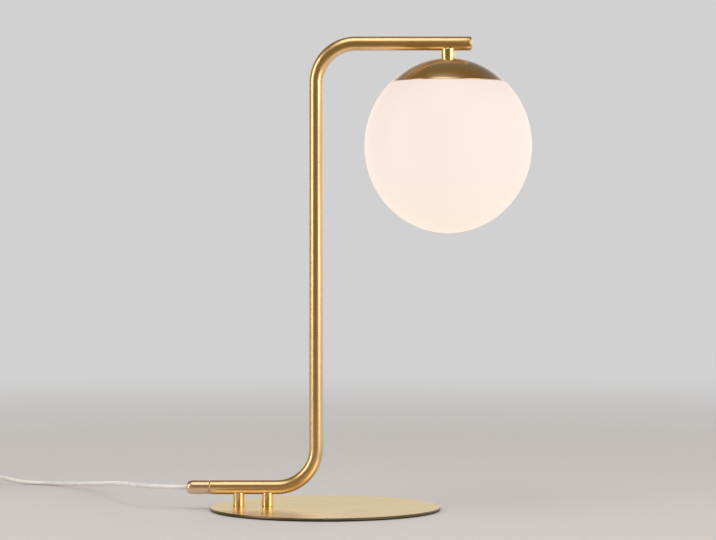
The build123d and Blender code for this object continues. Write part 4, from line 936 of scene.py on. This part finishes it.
def tie_strap():
    """Flat strap: a thin squared oval carried round a rectangle with round corners, across its line."""
    corner_low, corner_high = low("cord_tie"), high("cord_tie")
    half_wall, corner = 0.4 * MM, 3.0 * MM
    x0, z0 = corner_low[0] + half_wall, corner_low[2] + half_wall
    x1, z1 = corner_high[0] - half_wall, corner_high[2] - half_wall
    line = rounded((x0, z0, corner), (x1, z0, corner), (x1, z1, corner), (x0, z1, corner), steps=10)
    ahead = unit(np.roll(line, -1, 0) - np.roll(line, 1, 0))
    out = np.stack([ahead[:, 1], -ahead[:, 0]], axis=1)
    thick, wide = squared_ring(half_wall, (corner_high[1] - corner_low[1]) / 2, power=6.0, segments=28)
    x = line[:, :1] + out[:, :1] * thick
    z = line[:, 1:] + out[:, 1:] * thick
    y = middle("cord_tie")[1] + wide + 0 * x
    return grid_piece("tie_strap", np.stack([x, y, z], axis=-1), closed_rows=True)


def tie_buckle():
    """Small moulded buckle on the strap's top: squared ovals stacked with rounded edges."""
    centre = middle("cord_tie")
    half_length, half_width, height, edge, sunk = 2.8 * MM, 3.9 * MM, 2.4 * MM, 0.5 * MM, 0.9 * MM
    bottom = high("cord_tie")[2] - sunk
    turn = np.radians(np.linspace(0, 90, 6))
    inset = np.concatenate([edge * (1 - np.sin(turn)), edge * (1 - np.cos(turn))])
    rise = np.concatenate([edge * (1 - np.cos(turn)), height - edge * (1 - np.sin(turn))])
    rows = []
    for shrink, lift in zip(inset, rise):
        x, y = squared_ring(half_length - shrink, half_width - shrink, power=5.0, segments=48)
        rows.append(np.stack([centre[0] + x, centre[1] + y, bottom + lift + 0 * x], axis=-1))
    pole = [np.broadcast_to([centre[0], centre[1], bottom + lift], rows[0].shape) for lift in (0.0, height)]
    return grid_piece("tie_buckle", np.stack([pole[0], *rows, pole[1]]))


fit(rocker_key(), white_plastic, "rocker", "white_plastic", "switch_rocker")
plug = fit(plug_shell(), white_plastic, "stand", "white_plastic", "plug_body")
boot = fit(ribbed_boot(), white_plastic, "stand", "white_plastic", "plug_boot")
tips = fit(pin_tips(), pin_metal, "stand", "plug_metal", "plug_pins")
sleeves = fit(pin_sleeves(), white_plastic, "stand", "white_plastic", "plug_pins")
strap = fit(tie_strap(), white_strap, "stand", "white_plastic", "cord_tie")
buckle = fit(tie_buckle(), white_plastic, "stand", "white_plastic", "cord_tie")


# ------------------------------------------------------------------ floor, lights and backdrop

BACKDROP = (0.637, 0.637, 0.637)
ROOM_FRONT = (0.215, 0.152, 0.048)
ROOM_WALL = (0.97, 0.98, 1.00)
EVEN_LIGHT = (0.645, 0.645, 0.645)
FLOOR_REACH = 12.0


def floor():
    """Plain pale floor that fades into the backdrop far from the lamp. Metal sees it end in front of the
    lamp, where the dim room begins, as a table does."""
    corners = [(x * FLOOR_REACH, y * FLOOR_REACH, 0.0) for x, y in ((-1, -1), (1, -1), (1, 1), (-1, 1))]
    mesh = bpy.data.meshes.new("floor")
    mesh.from_pydata(corners, [], [(0, 1, 2, 3)])
    piece = bpy.data.objects.new("floor", mesh)
    bpy.context.scene.collection.objects.link(piece)
    finish = Finish("floor", Roughness=0.55, Base_Color=(0.60, 0.565, 0.54))
    distance = finish.node("ShaderNodeVectorMath", operation="LENGTH")
    finish.join(finish.place(), distance.inputs[0])
    far = finish.ranged(distance.outputs["Value"], 0.0, 1.0, source=(0.45, 2.4), smooth=True)
    glow = finish.node("ShaderNodeEmission")
    glow.inputs["Color"].default_value = (*BACKDROP, 1.0)
    faded = finish.mixed(far, finish.shader.outputs[0], glow.outputs[0])
    front = finish.ranged(finish.split(finish.place())["Y"], 1.0, 0.0, source=(-0.45, -0.15), smooth=True)
    dim = finish.node("ShaderNodeEmission")
    dim.inputs["Color"].default_value = (*ROOM_FRONT, 1.0)
    seen = finish.product(front, finish.node("ShaderNodeLightPath").outputs["Is Glossy Ray"])
    surface = finish.tree.nodes["Material Output"].inputs["Surface"]
    finish.join(finish.mixed(seen, faded, dim.outputs[0]), surface)
    mesh.materials.append(finish.material)


def panel(name, location, target, width, height, radiance):
    """Soft rectangular lamp whose face has that radiance."""
    light = bpy.data.lights.new(name, "AREA")
    light.shape = "RECTANGLE"
    light.size = width
    light.size_y = height
    light.energy = radiance * math.pi * width * height
    holder = bpy.data.objects.new(name, light)
    bpy.context.scene.collection.objects.link(holder)
    holder.location = location
    aim = Vector(target) - Vector(location)
    holder.rotation_euler = aim.to_track_quat("-Z", "Y").to_euler()
    holder.visible_camera = False


def studio():
    """A pale backdrop for what the camera sees and an even light on matt surfaces. Metal and glass see a
    dim warm room in front, a bright wall low down behind the lamp with a dimmer ceiling over it, and a
    brighter side on the right."""
    world = bpy.data.worlds.new("studio")
    bpy.context.scene.world = world
    world.use_nodes = True
    world.node_tree.nodes.clear()
    sky = Nodes(world.node_tree)
    parts = sky.split(sky.node("ShaderNodeTexCoord").outputs["Generated"])
    back = sky.ranged(parts["Y"], 0.0, 1.0, source=(0.35, 0.95), smooth=True)
    lower = sky.ranged(parts["Z"], 1.0, 0.17, source=(0.16, 0.55), smooth=True)
    right = sky.ranged(parts["X"], 0.0, 0.85, source=(0.45, 0.95), smooth=True)
    front = sky.node("ShaderNodeBackground")
    front.inputs["Color"].default_value = (*ROOM_FRONT, 1.0)
    sky.join(sky.ranged(back, 1.0, 0.15, source=(0.0, 1.0)), front.inputs["Strength"])
    wall = sky.node("ShaderNodeBackground")
    wall.inputs["Color"].default_value = (*ROOM_WALL, 1.0)
    sky.join(sky.sum(right, sky.product(back, lower)), wall.inputs["Strength"])
    room = sky.node("ShaderNodeAddShader")
    sky.join(front.outputs[0], room.inputs[0])
    sky.join(wall.outputs[0], room.inputs[1])
    even = sky.node("ShaderNodeBackground")
    even.inputs["Color"].default_value = (*EVEN_LIGHT, 1.0)
    plain = sky.node("ShaderNodeBackground")
    plain.inputs["Color"].default_value = (*BACKDROP, 1.0)
    rays = sky.node("ShaderNodeLightPath")
    lit = sky.mixed(rays.outputs["Is Diffuse Ray"], room.outputs[0], even.outputs[0])
    seen = sky.mixed(rays.outputs["Is Camera Ray"], lit, plain.outputs[0])
    sky.join(seen, sky.node("ShaderNodeOutputWorld").inputs["Surface"])


floor()
studio()
panel("left_panel", (-1.58, -0.67, 0.80), (0.0, 0.0, 0.4), width=0.75, height=1.60, radiance=2.9)
panel("right_panel", (1.37, -1.03, 0.80), (0.0, 0.0, 0.4), width=1.10, height=1.60, radiance=2.35)
panel("top_panel", (-0.18, -0.71, 2.15), (0.0, 0.0, 0.3), width=1.10, height=1.60, radiance=1.9)
bpy.context.scene.view_settings.view_transform = "Standard"
